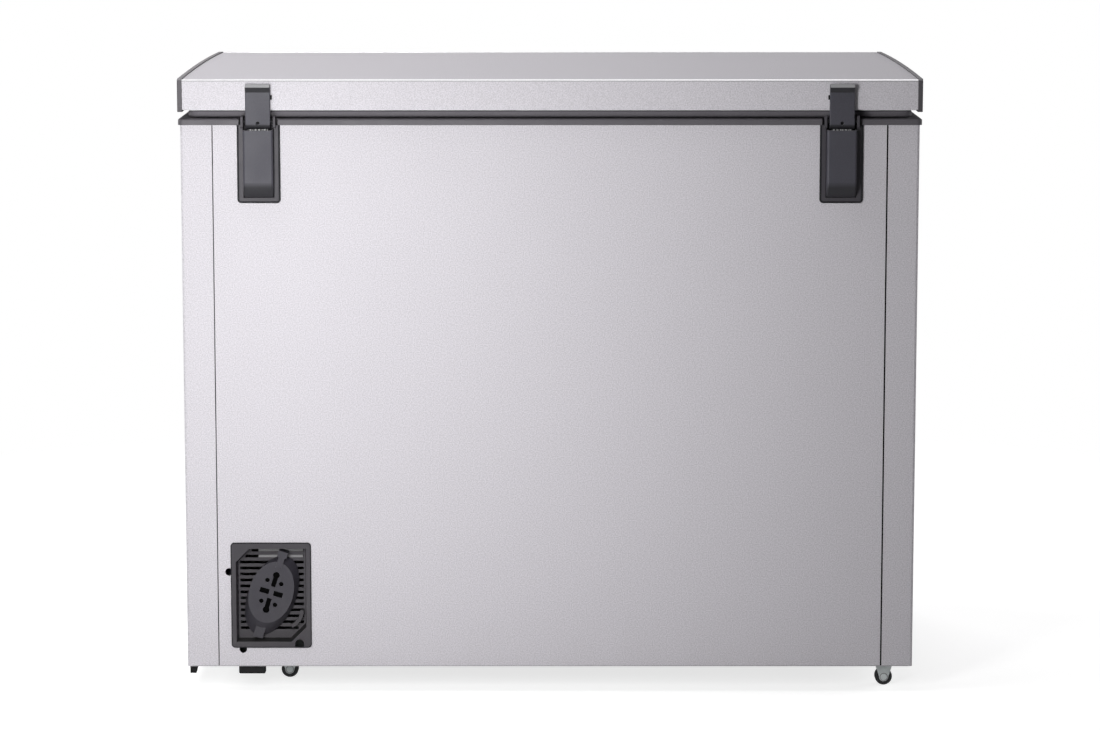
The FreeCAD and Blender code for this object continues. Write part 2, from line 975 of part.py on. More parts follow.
def lid_handle():
    low = lid_bottom - handle_drop
    high = low + handle_height
    front = -lid_depth - handle_depth
    x = -handle_width / 2
    outline = [
        V(x, -lid_depth, low),
        V(x, -lid_depth, high),
        V(x, front, high - handle_slope),
        V(x, front, low),
    ]
    body = extrude(polygon(outline), X_AXIS * handle_width)
    body = fillet_along(body, X_AXIS, handle_wall / 2)
    grip = box(
        x + handle_wall,
        -x - handle_wall,
        front + handle_wall,
        -lid_depth,
        low,
        low + grip_depth,
    )
    return body.cut(grip)


def lamp_lens():
    flange = lamp_cut(0, plug_bottom - lamp_flange, plug_bottom)
    flange = fillet_along(flange, Z_AXIS, lamp_lip)
    body = lamp_cut(lamp_lip, plug_bottom, plug_bottom + liner_sheet + lamp_flange)
    return flange.fuse(body).removeSplitter()


def lamp_circuit():
    low = plug_bottom + liner_sheet + lamp_flange
    return lamp_cut(lamp_lip + lamp_board_inset, low, low + lamp_board)


def cam_point(x, angle):
    support = cam_height - cam_play - cam_rate * angle
    y = support * math.sin(angle) - cam_rate * math.cos(angle)
    z = -support * math.cos(angle) - cam_rate * math.sin(angle)
    return V(x, pivot_y + y, pivot_z + z)


def hinge_leaf(side):
    x = side * hinge_offset - leaf_width / 2
    cam = [cam_point(x, index * math.pi / 2 / cam_steps) for index in range(cam_steps + 1)]
    curve = Part.BSplineCurve()
    curve.interpolate(cam)
    lip_y = leaf_face + leaf_lip
    face_low = cam[-1]
    outline = [
        V(x, pivot_y - knuckle_radius, pivot_z - knuckle_radius),
        V(x, pivot_y - knuckle_radius, pivot_z + knuckle_radius),
        V(x, lid_depth, lid_bottom - cap_drop),
        V(x, lid_depth, leaf_top),
        V(x, lip_y - leaf_bevel, leaf_top),
        V(x, lip_y, leaf_top - leaf_bevel),
        V(x, face_low.y, leaf_top - leaf_lip_height),
        face_low,
    ]
    edges = [line(a, b) for a, b in zip([cam[0]] + outline, outline)]
    body = extrude(edges + [curve.toShape()], X_AXIS * leaf_width)
    sides = []
    for edge in body.Edges:
        flat = edge.BoundBox.XLength < leaf_edge
        if flat and edge.CenterOfMass.y > lid_depth + tolerance and edge.BoundBox.ZMax > lid_bottom:
            sides.append(edge)
    body = body.makeFillet(leaf_edge, sides)
    bore = rod(V(x, pivot_y, pivot_z), X_AXIS, leaf_width, pin_radius + pin_play)
    hole_z = pivot_z - leaf_hole_down
    hole = rod(V(side * hinge_offset, face_low.y, hole_z), -Y_AXIS, leaf_hole_depth, leaf_hole_radius)
    cross = rod(cross_pin_place(x), X_AXIS, leaf_width, cross_pin_radius + pin_play)
    return body.cut([bore, hole, cross])


def cross_pin_place(x):
    return V(x, (lid_depth + leaf_face) / 2, leaf_top - cross_pin_down)


def leaf_pins():
    # the head of each cross pin is on the side towards the middle of the lid
    pins = []
    for side in (-1, 1):
        inner = side * (hinge_offset - leaf_width / 2)
        outward = X_AXIS * side
        shank = rod(cross_pin_place(inner), outward, leaf_width, cross_pin_radius)
        head = rod(cross_pin_place(inner), -outward, cross_pin_head, cross_pin_head_radius)
        pins.append(shank.fuse(head).removeSplitter())
    return Part.makeCompound(pins)


def hinge_base(side):
    x = side * hinge_offset
    half = base_width / 2
    rim = box(x - half, x + half, half_depth, half_depth + base_plate, base_bottom, cabinet_top)
    low_corners = []
    for edge in rim.Edges:
        upright = abs(edge.Vertexes[0].Y - edge.Vertexes[1].Y) > base_plate / 2
        if upright and edge.Vertexes[0].Z < base_bottom + base_corner:
            low_corners.append(edge)
    rim = rim.makeFillet(base_corner, low_corners)
    face = half_depth + base_plate - tolerance
    outline = []
    for edge in rim.Edges:
        on_face = min(v.Y for v in edge.Vertexes) > face
        if on_face and min(v.Z for v in edge.Vertexes) < cabinet_top - tolerance:
            outline.append(edge)
    rim = rim.makeFillet(base_edge, outline)
    pan = box(x - pan_outer, x + pan_outer, pan_back, half_depth, pan_bottom - pan_wall, cabinet_top)
    back = box(x - pan_outer, x + pan_outer, pan_back, pan_floor, cabinet_top, collar_top)
    well = box(x - well_half, x + well_half, pan_floor, half_depth + base_plate, well_bottom, cabinet_top)
    pieces = [pan.cut(well), back]
    inner = leaf_width / 2 + ear_gap
    for hand in (-1, 1):
        x0, x1 = sorted((x + hand * inner, x + hand * (inner + ear_width)))
        ear_low = cabinet_top - ear_below
        ear_high = cabinet_top + ear_above
        profile = [
            V(x0, pan_floor, ear_low),
            V(x0, pan_floor, collar_top - ear_front_drop),
            V(x0, pivot_y - ear_wall, ear_high),
            V(x0, pivot_y + ear_wall, ear_high),
            V(x0, pivot_y + ear_wall, ear_low),
        ]
        ear = extrude(polygon(profile), X_AXIS * (x1 - x0))
        rear_edges = [
            e
            for e in ear.Edges
            if min(v.Y for v in e.Vertexes) > pivot_y
            and abs(e.Vertexes[0].X - e.Vertexes[1].X) > ear_width / 2
        ]
        pieces.append(ear.makeFillet(ear_wall / 2, rear_edges))
    shelf_half = plunger_width / 2 + shelf_side
    shelf_edge = plunger_y + plunger_depth / 2 + shelf_side
    shelf_low = shelf_top - shelf_height
    pieces.append(box(x - shelf_half, x + shelf_half, pan_floor, shelf_edge, shelf_low, shelf_top))
    body = rim.cut(well).multiFuse(pieces).removeSplitter()
    tools = [rod(V(x - base_width, pivot_y, pivot_z), X_AXIS, 2 * base_width, pin_radius + pin_play)]
    for point in hinge_screw_points(side):
        tools.append(rod(point, -Y_AXIS, pan_wall, hinge_screw_radius + pin_play))
    return body.cut(tools)


def cover_form(side, inset):
    # bulged cover whose lower end leans back towards the cabinet
    x = side * hinge_offset
    half = cover_width / 2 - inset
    face = cover_face - inset
    low = cover_bottom + inset
    bend = cover_bottom + cover_slope
    foot = face - cover_set_back
    bow = V(x - half, face - cover_set_back * cover_bow_out, bend - cover_slope * cover_bow_down)
    start = V(x - half, pan_floor, cover_top)
    rear_top = V(x - half, face, cover_top)
    rear_bend = V(x - half, face, bend)
    rear_low = V(x - half, foot, low)
    front_low = V(x - half, pan_floor, low)
    edges = [
        line(start, rear_top),
        line(rear_top, rear_bend),
        arc(rear_bend, bow, rear_low),
        line(rear_low, front_low),
        line(front_low, start),
    ]
    return extrude(edges, X_AXIS * (2 * half))


def hinge_cover(side):
    body = cover_form(side, 0)
    edges = []
    for edge in body.Edges:
        ends = edge.Vertexes
        upright = abs(ends[0].Z - ends[1].Z) > cover_length / 2
        if upright and min(v.Y for v in ends) > half_depth:
            edges.append(edge)
    body = body.makeFillet(cover_edge, edges)
    return body.cut(cover_form(side, cover_wall))


def hinge_pins():
    pins = []
    reach = leaf_width / 2 + ear_gap + ear_width
    for side in (-1, 1):
        start = side * hinge_offset - reach
        shank = rod(V(start, pivot_y, pivot_z), X_AXIS, 2 * reach, pin_radius)
        head_x = start + 2 * reach if side > 0 else start - pin_head
        head = rod(V(head_x, pivot_y, pivot_z), X_AXIS, pin_head, pin_head_radius)
        pins.append(shank.fuse(head).removeSplitter())
    return Part.makeCompound(pins)


def hinge_plunger(side):
    x = side * hinge_offset
    half = plunger_width / 2
    deep = plunger_depth / 2
    low = plunger_top - plunger_height
    body = box(x - half, x + half, plunger_y - deep, plunger_y + deep, low, plunger_top)
    return fillet_along(body, Z_AXIS, deep / 2)


def hinge_spring(side):
    foot = V(side * hinge_offset, plunger_y, shelf_top)
    return ring(foot, Z_AXIS, spring_length, spring_radius, spring_radius - spring_wire)


def hinge_screws():
    screws = []
    for side in (-1, 1):
        for point in hinge_screw_points(side):
            head = rod(point, Y_AXIS, hinge_screw_head, hinge_screw_head_radius)
            shank = rod(point, -Y_AXIS, hinge_screw_length, hinge_screw_radius)
            screws.append(head.fuse(shank).removeSplitter())
    return Part.makeCompound(screws)


def vent_cover():
    left = vent_x - vent_width / 2
    right = vent_x + vent_width / 2
    low = vent_z - vent_height / 2
    high = vent_z + vent_height / 2
    face = half_depth + vent_plate
    floor = face - vent_depth
    plate = round_box(left, right, half_depth, face, low, high, vent_corner, Y_AXIS)
    rim = [e for e in plate.Edges if min(v.Y for v in e.Vertexes) > face - tolerance]
    plate = plate.makeFillet(vent_edge, rim)
    back = floor - vent_wall
    pan = vent_prism(-vent_wall, vent_draft - vent_wall, half_depth, back)
    body = plate.fuse(pan).removeSplitter()
    body = body.cut(vent_prism(0, vent_draft, face, floor))
    tools = []
    slot_left = left + vent_rim_side + vent_draft + slot_margin
    slot_right = right - vent_rim_side - vent_draft - slot_margin
    first = high - vent_rim_end - slot_rise
    for index in range(slot_count):
        z = first - index * slot_pitch
        corner = vent_chamfer_top - (high - vent_rim_end - z) + slot_margin
        foot = vent_chamfer_bottom - (z - low - vent_rim_end) + slot_margin
        x0 = slot_left + max(0.0, foot)
        x1 = slot_right - max(0.0, corner)
        tools.append(box(x0, x1, back, floor, z - slot_height / 2, z + slot_height / 2))
    notch = V(cord_notch_x, back, low + cord_notch_up)
    tools.append(rod(notch, Y_AXIS, face - back, cord_notch_radius))
    tools.append(
        box(
            cord_notch_x - cord_notch_radius,
            cord_notch_x + cord_notch_radius,
            half_depth,
            face,
            low,
            low + cord_notch_up,
        )
    )
    body = body.cut(tools)
    return body.fuse(cord_guide(floor)).removeSplitter()


def cord_guide(floor):
    # curved rib that leads the cord from the winder to the notch
    outer = Part.makeCylinder(guide_radius, guide_height, V(0, 0, 0), Z_AXIS, guide_sweep)
    inner = Part.makeCylinder(guide_radius - guide_width, guide_height, V(0, 0, 0), Z_AXIS, guide_sweep)
    rib = outer.cut(inner)
    rib.rotate(V(0, 0, 0), Z_AXIS, -guide_start - guide_sweep)
    rib.rotate(V(0, 0, 0), X_AXIS, -90)
    rib.translate(V(guide_x, floor, guide_z))
    return rib


def winder_oval(long, short, y, z, tilt):
    ellipse = Part.Ellipse(V(0, 0, 0), long, short).toShape()
    ellipse.rotate(V(0, 0, 0), X_AXIS, 90)
    ellipse.rotate(V(0, 0, 0), Y_AXIS, 90 - tilt)
    ellipse.translate(V(vent_x, y, z))
    return Part.Wire([ellipse])


def winder_base(y):
    middle = vent_z + winder_up - winder_base_drop
    return winder_oval(winder_base_long, winder_base_short, y, middle, winder_base_tilt)


def winder_top(inset, y):
    middle = vent_z + winder_up
    return winder_oval(winder_top_long - inset, winder_top_short - inset, y, middle, winder_tilt)


def winder_point(along, across, y):
    # along the oval's long axis from its middle, and across it
    x = vent_x - along * math.sin(winder_lean) + across * math.cos(winder_lean)
    z = vent_z + winder_up + along * math.cos(winder_lean) + across * math.sin(winder_lean)
    return V(x, y, z)


def winder_block(along, across, y0, y1):
    # an upright block between two distances along and two across the oval
    corners = [(along[0], across[0]), (along[1], across[0]), (along[1], across[1]), (along[0], across[1])]
    points = [winder_point(a, b, y0) for a, b in corners]
    return extrude(polygon(points), Y_AXIS * (y1 - y0))


def cord_winder():
    floor = half_depth + vent_plate - vent_depth
    foot = floor + winder_foot
    top = floor + winder_height
    base = Part.Face(winder_base(floor)).extrude(Y_AXIS * winder_foot)
    rise = Part.makeLoft([winder_base(foot), winder_top(0, top)], True, True)
    half = finger_width / 2
    wide = clip_width / 2
    finger_low = floor + clip_height - finger_thickness
    finger_start = winder_top_long - clip_length
    finger = winder_block((finger_start, finger_reach_top), (-half, half), finger_low, floor + clip_height)
    clip_start = finger_reach_top - clip_length
    upper = winder_block((clip_start, finger_reach_top), (-wide, wide), floor, floor + clip_height)
    lower = winder_block((-finger_reach_bottom, 0), (-wide, wide), floor, floor + clip_low)
    body = base.multiFuse([rise, finger, upper, lower]).removeSplitter()
    tools = [Part.Face(winder_top(winder_wall, floor)).extrude(Y_AXIS * (winder_height - winder_wall))]
    for hand in (-1, 1):
        round_end = winder_point(hand * keyhole_centre, 0, floor)
        tools.append(rod(round_end, Y_AXIS, winder_height, keyhole_radius))
        span = sorted((hand * keyhole_inner, hand * keyhole_centre))
        tools.append(winder_block(span, (-keyhole_slot / 2, keyhole_slot / 2), floor, top))
        window_ends = (window_centre - window_length / 2, window_centre + window_length / 2)
        window = sorted(hand * end for end in window_ends)
        tools.append(winder_block((-window_width / 2, window_width / 2), window, floor, top))
        for other in (-1, 1):
            centre = winder_point(hand * dot_long, other * dot_short, floor)
            tools.append(rod(centre, Y_AXIS, winder_height, dot_radius))
    return body.cut(tools)


def caster_half_span():
    return wheel_width / 2 + bracket_gap + bracket_plate


def caster_brackets():
    brackets = []
    for x, y in caster_places.values():
        span = caster_half_span()
        half = bracket_width / 2
        top = ground_clearance
        plate = box(x - half, x + half, y - span, y + span, top - bracket_plate, top)
        pieces = []
        for hand in (-1, 1):
            face = y + hand * span
            inward = Y_AXIS * (-hand * bracket_plate)
            shoulder = top - bracket_shoulder
            outline = [
                V(x - half, face, top),
                V(x + half, face, top),
                V(x + half, face, shoulder),
                V(x + bracket_nose, face, wheel_radius),
                V(x - bracket_nose, face, wheel_radius),
                V(x - half, face, shoulder),
            ]
            pieces.append(extrude(polygon(outline), inward))
            pieces.append(rod(V(x, face, wheel_radius), -Y_AXIS * hand, bracket_plate, bracket_nose))
        body = plate.multiFuse(pieces).removeSplitter()
        bore = rod(V(x, y - span, wheel_radius), Y_AXIS, 2 * span, axle_radius + axle_play)
        brackets.append(body.cut(bore))
    return Part.makeCompound(brackets)


def caster_axles():
    axles = []
    for x, y in caster_places.values():
        span = caster_half_span()
        shank = rod(V(x, y - span, wheel_radius), Y_AXIS, 2 * span, axle_radius)
        heads = []
        for hand in (-1, 1):
            head = rod(V(x, y + hand * span, wheel_radius), Y_AXIS * hand, rivet_head, rivet_radius)
            rim = [e for e in head.Edges if abs(e.BoundBox.Center.y - y) > span + rivet_head / 2]
            heads.append(head.makeFillet(rivet_head / 2, rim[:1]))
        axles.append(shank.multiFuse(heads).removeSplitter())
    return Part.makeCompound(axles)


def caster_wheel(place):
    x, y = caster_places[place]
    side = y - wheel_width / 2
    body = rod(V(x, side, wheel_radius), Y_AXIS, wheel_width, wheel_radius)
    rims = [e for e in body.Edges if isinstance(e.Curve, Part.Circle)]
    body = body.makeFillet(wheel_edge, rims)
    hub = axle_radius + axle_play
    tools = [rod(V(x, side, wheel_radius), Y_AXIS, wheel_width, hub)]
    for start in (side, side + wheel_width - wheel_dish):
        dish = ring(V(x, start, wheel_radius), Y_AXIS, wheel_dish, wheel_dish_radius, hub + axle_radius / 2)
        tools.append(dish)
    return body.cut(tools)


def corner_skid():
    rear = inside_depth - skid_set_in
    half = skid_width / 2
    low = ground_clearance - skid_height
    outline = [
        V(skid_x - half, rear, ground_clearance),
        V(skid_x + half, rear, ground_clearance),
        V(skid_x + half, rear, low),
        V(skid_x - half + skid_taper, rear, low),
    ]
    body = fillet_along(extrude(polygon(outline), -Y_AXIS * skid_depth), Z_AXIS, skid_edge)
    grooves = []
    groove_half = skid_groove / 2
    groove_top = ground_clearance - skid_groove
    for share in (-1, 0, 1):
        x = skid_x + share * 2 * skid_groove
        grooves.append(box(x - groove_half, x + groove_half, rear - groove_half, rear, low, groove_top))
    return body.cut(grooves)


def tray_bumper():
    rear = inside_depth - bumper_set_in
    half = bumper_width / 2
    low = ground_clearance - bumper_height
    body = box(bumper_x - half, bumper_x + half, rear - bumper_depth, rear, low, ground_clearance)
    edges = [e for e in body.Edges if min(v.Z for v in e.Vertexes) < low + tolerance]
    return body.makeFillet(bumper_edge, edges)


def drain_tube():
    return drain_hole(drain_radius).cut(drain_hole(drain_bore))


def drain_plug():
    stem_radius = drain_bore - plug_play
    stem = rod(V(drain_x, drain_y, cavity_floor - plug_stem), Z_AXIS, plug_stem, stem_radius)
    head = rod(V(drain_x, drain_y, cavity_floor), Z_AXIS, plug_head, plug_head_radius)
    top = cavity_floor + plug_head
    half = plug_tab_width / 2
    thick = plug_tab_thickness / 2
    tab = box(drain_x - half, drain_x + half, drain_y - thick, drain_y + thick, top, top + plug_tab_height)
    tab = fillet_along(tab, Y_AXIS, thick)
    foot = box(drain_x - half, drain_x + half, drain_y - thick, drain_y + thick, top, top + thick)
    return stem.multiFuse([head, tab, foot]).removeSplitter()


def slot_places(start, end):
    count = int((end - start - 2 * basket_margin) // basket_pitch)
    first = (start + end - count * basket_pitch) / 2
    return [first + index * basket_pitch for index in range(count + 1)]


def storage_basket():
    x0 = basket_x
    x1 = basket_x + basket_length
    half = cavity_depth - basket_play - basket_wall
    rim_half = cavity_depth + ledge_width - basket_play
    rim_low = basket_top - basket_rim
    body = round_box(x0, x1, -half, half, basket_bottom, basket_top, basket_corner)
    rim = round_box(x0, x1, -rim_half, rim_half, rim_low, basket_top, basket_corner)
    hollow = round_box(
        x0 + basket_wall,
        x1 - basket_wall,
        -half + basket_wall,
        half - basket_wall,
        basket_bottom + basket_wall,
        basket_top,
        basket_corner - basket_wall,
    )
    body = body.fuse(rim).removeSplitter().cut(hollow)
    slot = basket_slot / 2
    low = basket_bottom + basket_margin
    high = rim_low - basket_margin
    tools = []
    for x in slot_places(x0, x1):
        tools.append(box(x - slot, x + slot, -half, half, low, high))
        for side in (-1, 1):
            y0, y1 = sorted((side * basket_margin, side * (half - basket_margin)))
            tools.append(box(x - slot, x + slot, y0, y1, basket_bottom, basket_bottom + basket_wall))
    for y in slot_places(-half, half):
        tools.append(box(x0, x1, y - slot, y + slot, low, high))
    return body.cut(tools)


def feet_places():
    corners = [(a, b) for a in (-1, 1) for b in (-1, 1)]
    return [(compressor_x + a * feet_hole_x, compressor_y + b * feet_hole_y) for a, b in corners]


def dome(radius, low, high, rounding):
    body = rod(V(compressor_x, compressor_y, low), Z_AXIS, high - low, radius)
    return body.makeFillet(rounding, [e for e in body.Edges if isinstance(e.Curve, Part.Circle)])


def compressor_shell():
    body = dome(compressor_radius, compressor_bottom, compressor_top, compressor_dome)
    middle = (compressor_bottom + compressor_top - seam_height) / 2
    seam = rod(V(compressor_x, compressor_y, middle), Z_AXIS, seam_height, seam_radius)
    hollow = dome(
        compressor_radius - compressor_wall,
        compressor_bottom + compressor_wall,
        compressor_top - compressor_wall,
        compressor_dome - compressor_wall,
    )
    return body.fuse(seam).removeSplitter().cut(hollow)


def compressor_motor():
    low = compressor_bottom + compressor_wall
    foot = motor_radius / 2
    pad = rod(V(compressor_x, compressor_y, low), Z_AXIS, compressor_dome, foot)
    body = rod(V(compressor_x, compressor_y, low + compressor_dome), Z_AXIS, motor_height, motor_radius)
    return pad.fuse(body).removeSplitter()


def compressor_feet():
    half = feet_length / 2
    deep = feet_width / 2
    plate = round_box(
        compressor_x - half,
        compressor_x + half,
        compressor_y - deep,
        compressor_y + deep,
        feet_bottom,
        compressor_bottom,
        grommet_radius,
    )
    holes = [rod(V(x, y, feet_bottom), Z_AXIS, feet_plate, bolt_radius + bolt_play) for x, y in feet_places()]
    return plate.cut(holes)


def compressor_grommets():
    bore = bolt_radius + bolt_play
    places = feet_places()
    return Part.makeCompound(
        [ring(V(x, y, floor_top), Z_AXIS, grommet_height, grommet_radius, bore) for x, y in places]
    )


def compressor_bolts():
    bolts = []
    for x, y in feet_places():
        shank = rod(V(x, y, ground_clearance), Z_AXIS, compressor_bottom - ground_clearance, bolt_radius)
        head = rod(V(x, y, compressor_bottom), Z_AXIS, bolt_head, bolt_head_radius)
        bolts.append(shank.fuse(head).removeSplitter())
    return Part.makeCompound(bolts)


def terminal_cover():
    low = compressor_bottom + terminal_up
    half = terminal_width / 2
    rear = compressor_y - compressor_radius + terminal_depth / 2
    front = rear - terminal_depth
    body = box(compressor_x - half, compressor_x + half, front, rear, low, low + terminal_height)
    keep_off = compressor_radius + terminal_gap
    hollow = rod(V(compressor_x, compressor_y, low), Z_AXIS, terminal_height, keep_off)
    seam_low = (compressor_bottom + compressor_top - seam_height) / 2 - terminal_gap
    seam = rod(
        V(compressor_x, compressor_y, seam_low),
        Z_AXIS,
        seam_height + 2 * terminal_gap,
        seam_radius + terminal_gap,
    )
    return body.cut([hollow, seam])


def drier_top():
    return bay_top - coil_stub - drier_up


def filter_drier():
    high = drier_top()
    low = high - drier_length
    full = drier_length - 2 * drier_neck
    body = rod(V(drier_x, skin_return_y, low + drier_neck), Z_AXIS, full, drier_radius)
    rims = [e for e in body.Edges if isinstance(e.Curve, Part.Circle)]
    body = body.makeFillet(drier_radius / 2, rims)
    neck = rod(V(drier_x, skin_return_y, low), Z_AXIS, drier_length, coil_radius)
    return body.fuse(neck).removeSplitter()


def refrigerant_pipes():
    stub = bay_top - coil_stub
    port = compressor_top + port_up
    level = deep_levels[0]
    discharge_x = compressor_x + port_offset
    intake_x = compressor_x - port_offset
    discharge = [
        V(discharge_x, compressor_y, compressor_top),
        V(discharge_x, compressor_y, port),
        V(skin_x, compressor_y, port),
        V(skin_x, skin_riser_y, port),
        V(skin_x, skin_riser_y, stub),
    ]
    suction = [
        V(suction_x, coil_y, stub),
        V(suction_x, coil_y, port),
        V(suction_x, compressor_y, port),
        V(intake_x, compressor_y, port),
        V(intake_x, compressor_y, compressor_top),
    ]
    liquid_z = (stub + drier_top()) / 2
    liquid = [
        V(skin_x, skin_return_y, stub),
        V(skin_x, skin_return_y, liquid_z),
        V(drier_x, skin_return_y, liquid_z),
        V(drier_x, skin_return_y, drier_top()),
    ]
    capillary = [
        V(drier_x, skin_return_y, drier_top() - drier_length),
        V(drier_x, skin_return_y, level),
        V(drier_x, coil_y, level),
        V(bay_left + coil_stub, coil_y, level),
    ]
    return Part.makeCompound(
        [
            tube("discharge pipe", discharge, pipe_bend, skin_tube_radius),
            tube("suction pipe", suction, pipe_bend, coil_radius),
            tube("liquid pipe", liquid, pipe_bend, skin_tube_radius),
            tube("capillary pipe", capillary, pipe_bend, capillary_radius),
        ]
    )


def lens_places():
    first = panel_x + lens_first
    return [V(first + index * lens_pitch, -half_depth, knob_z) for index in range(3)]


def control_panel():
    half = panel_width / 2
    tall = panel_height / 2
    body = round_box(
        panel_x - half,
        panel_x + half,
        panel_face,
        -half_depth,
        panel_z - tall,
        panel_z + tall,
        panel_corner,
        Y_AXIS,
    )
    tools = []
    top_slot = panel_z + tall - panel_slot_top
    for index in range(panel_slot_count):
        z = top_slot - index * panel_slot_pitch
        x0 = panel_x - panel_slot_width / 2
        x1 = panel_x + panel_slot_width / 2
        half_slot = panel_slot_height / 2
        tools.append(box(x0, x1, panel_face, -half_depth, z - half_slot, z + half_slot))
    tools.append(rod(V(knob_x, panel_face, knob_z), Y_AXIS, panel_plate, knob_shaft + knob_play))
    for place in lens_places():
        tools.append(rod(place, -Y_AXIS, panel_plate, lens_radius + lens_play))
    return body.cut(tools)


def thermostat_body():
    half = thermostat_width / 2
    tall = thermostat_height / 2
    body = box(
        knob_x - half,
        knob_x + half,
        -half_depth,
        -half_depth + thermostat_depth,
        knob_z - tall,
        knob_z + tall,
    )
    return body.cut(rod(V(knob_x, -half_depth, knob_z), Y_AXIS, knob_shaft_length, knob_shaft + knob_play))


def indicator_lenses():
    lenses = []
    for place in lens_places():
        body = rod(place + Y_AXIS * lens_depth, -Y_AXIS, lens_depth + panel_plate + lens_proud, lens_radius)
        front = [e for e in body.Edges if isinstance(e.Curve, Part.Circle) and e.Curve.Center.y < panel_face]
        lenses.append(body.makeFillet(lens_proud / 2, front))
    return Part.makeCompound(lenses)


def control_knob():
    rear = panel_face - knob_gap
    skirt = rod(V(knob_x, rear, knob_z), -Y_AXIS, knob_depth - knob_rib_depth, knob_radius)
    front = rear - knob_depth
    rib_half = knob_rib / 2
    reach = knob_radius - rib_half
    rib = box(
        knob_x - rib_half,
        knob_x + rib_half,
        front,
        front + knob_rib_depth,
        knob_z - reach,
        knob_z + reach,
    )
    shaft = rod(V(knob_x, rear, knob_z), Y_AXIS, knob_gap + panel_plate + knob_shaft_length, knob_shaft)
    return skirt.multiFuse([rib, shaft]).removeSplitter()


nodes = {
    "outer_shell": outside_shell(),
    "rear_panel": rear_panel(),
    "seam_strips": seam_strips(),
    "bottom_panel": bottom_panel(),
    "compressor_tray": compressor_tray(),
    "inner_tank": inner_tank(),
    "bay_liner": bay_liner(),
    "insulation_foam": insulation_foam(),
    "top_collar": top_collar(),
    "evaporator_tube": tube("evaporator tube", coil_points(), coil_bend, coil_radius),
    "condenser_tube": tube("condenser tube", skin_points(), skin_bend, skin_tube_radius),
    "compressor_shell": compressor_shell(),
    "compressor_motor": compressor_motor(),
    "compressor_feet": compressor_feet(),
    "compressor_grommets": compressor_grommets(),
    "compressor_bolts": compressor_bolts(),
    "terminal_cover": terminal_cover(),
    "filter_drier": filter_drier(),
    "refrigerant_pipes": refrigerant_pipes(),
    "vent_cover": vent_cover(),
    "cord_winder": cord_winder(),
    "control_panel": control_panel(),
    "thermostat_body": thermostat_body(),
    "indicator_lenses": indicator_lenses(),
    "control_knob": control_knob(),
    "drain_tube": drain_tube(),
    "drain_plug": drain_plug(),
    "storage_basket": storage_basket(),
    "lid_skin": lid_skin(),
    "lid_foam": lid_foam(),
    "lid_liner": lid_liner(),
    "lid_gasket": lid_gasket(),
    "lid_handle": lid_handle(),
    "lamp_lens": lamp_lens(),
    "lamp_board": lamp_circuit(),
    "leaf_pins": leaf_pins(),
    "hinge_pins": hinge_pins(),
    "hinge_screws": hinge_screws(),
    "caster_brackets": caster_brackets(),
    "caster_axles": caster_axles(),
    "corner_skid": corner_skid(),
    "tray_bumper": tray_bumper(),
}
for hand, side in (("left", 1), ("right", -1)):
    nodes[f"lid_end_cap_{hand}"] = lid_end_cap(side)
    nodes[f"hinge_base_{hand}"] = hinge_base(side)
    nodes[f"hinge_cover_{hand}"] = hinge_cover(side)
    nodes[f"hinge_leaf_{hand}"] = hinge_leaf(side)
    nodes[f"hinge_plunger_{hand}"] = hinge_plunger(side)
    nodes[f"hinge_spring_{hand}"] = hinge_spring(side)
for place in caster_places:
    nodes[f"caster_wheel_{place}"] = caster_wheel(place)

os.makedirs("parts", exist_ok=True)
for name, shape in nodes.items():
    shape.exportStep(f"parts/{name}.step")
print(f"{len(nodes)} nodes")
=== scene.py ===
import math

import bmesh
import bpy
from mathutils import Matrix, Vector


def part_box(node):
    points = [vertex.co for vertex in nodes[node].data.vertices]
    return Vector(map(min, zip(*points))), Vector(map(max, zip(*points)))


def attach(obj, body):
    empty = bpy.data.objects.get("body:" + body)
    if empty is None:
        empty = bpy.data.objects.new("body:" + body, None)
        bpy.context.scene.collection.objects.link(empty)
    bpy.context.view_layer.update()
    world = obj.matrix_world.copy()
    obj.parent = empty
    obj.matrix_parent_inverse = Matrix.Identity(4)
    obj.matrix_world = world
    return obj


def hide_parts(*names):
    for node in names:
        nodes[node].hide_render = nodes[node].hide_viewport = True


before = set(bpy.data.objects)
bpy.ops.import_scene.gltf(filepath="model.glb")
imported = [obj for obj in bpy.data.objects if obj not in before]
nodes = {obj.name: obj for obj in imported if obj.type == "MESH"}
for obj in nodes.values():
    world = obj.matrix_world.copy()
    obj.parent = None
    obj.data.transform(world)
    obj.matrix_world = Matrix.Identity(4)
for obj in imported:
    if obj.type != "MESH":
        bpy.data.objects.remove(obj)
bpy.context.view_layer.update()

scene = bpy.context.scene
print("frame loaded:", len(nodes), "CAD nodes")


# camera

cameraSet = {
    "place": (0.0, 5.0152, 1.1781),  # behind the freezer, a little above the lid
    "tilt": 7.922,  # degrees below the horizon
    "lens": 113.3,
    "sensor": 36.0,
    "shift": -0.04,
}


def makeCamera(look):
    data = bpy.data.cameras.new("mainCamera")
    data.lens = look["lens"]
    data.sensor_width = look["sensor"]
    data.shift_y = look["shift"]
    camera = bpy.data.objects.new("mainCamera", data)
    camera.location = look["place"]
    camera.rotation_euler = (math.radians(90 - look["tilt"]), 0, math.pi)
    scene.collection.objects.link(camera)
    scene.camera = camera


makeCamera(cameraSet)
scene.view_settings.view_transform = "Standard"
print("camera set")


# node helpers


def feed(tree, socket, value):
    if isinstance(value, bpy.types.NodeSocket):
        tree.links.new(value, socket)
    else:
        socket.default_value = value


def newNode(tree, kind, values=None, **settings):
    node = tree.nodes.new(kind)
    for key, value in settings.items():
        setattr(node, key, value)
    for label, value in (values or {}).items():
        feed(tree, node.inputs[label], value)
    return node


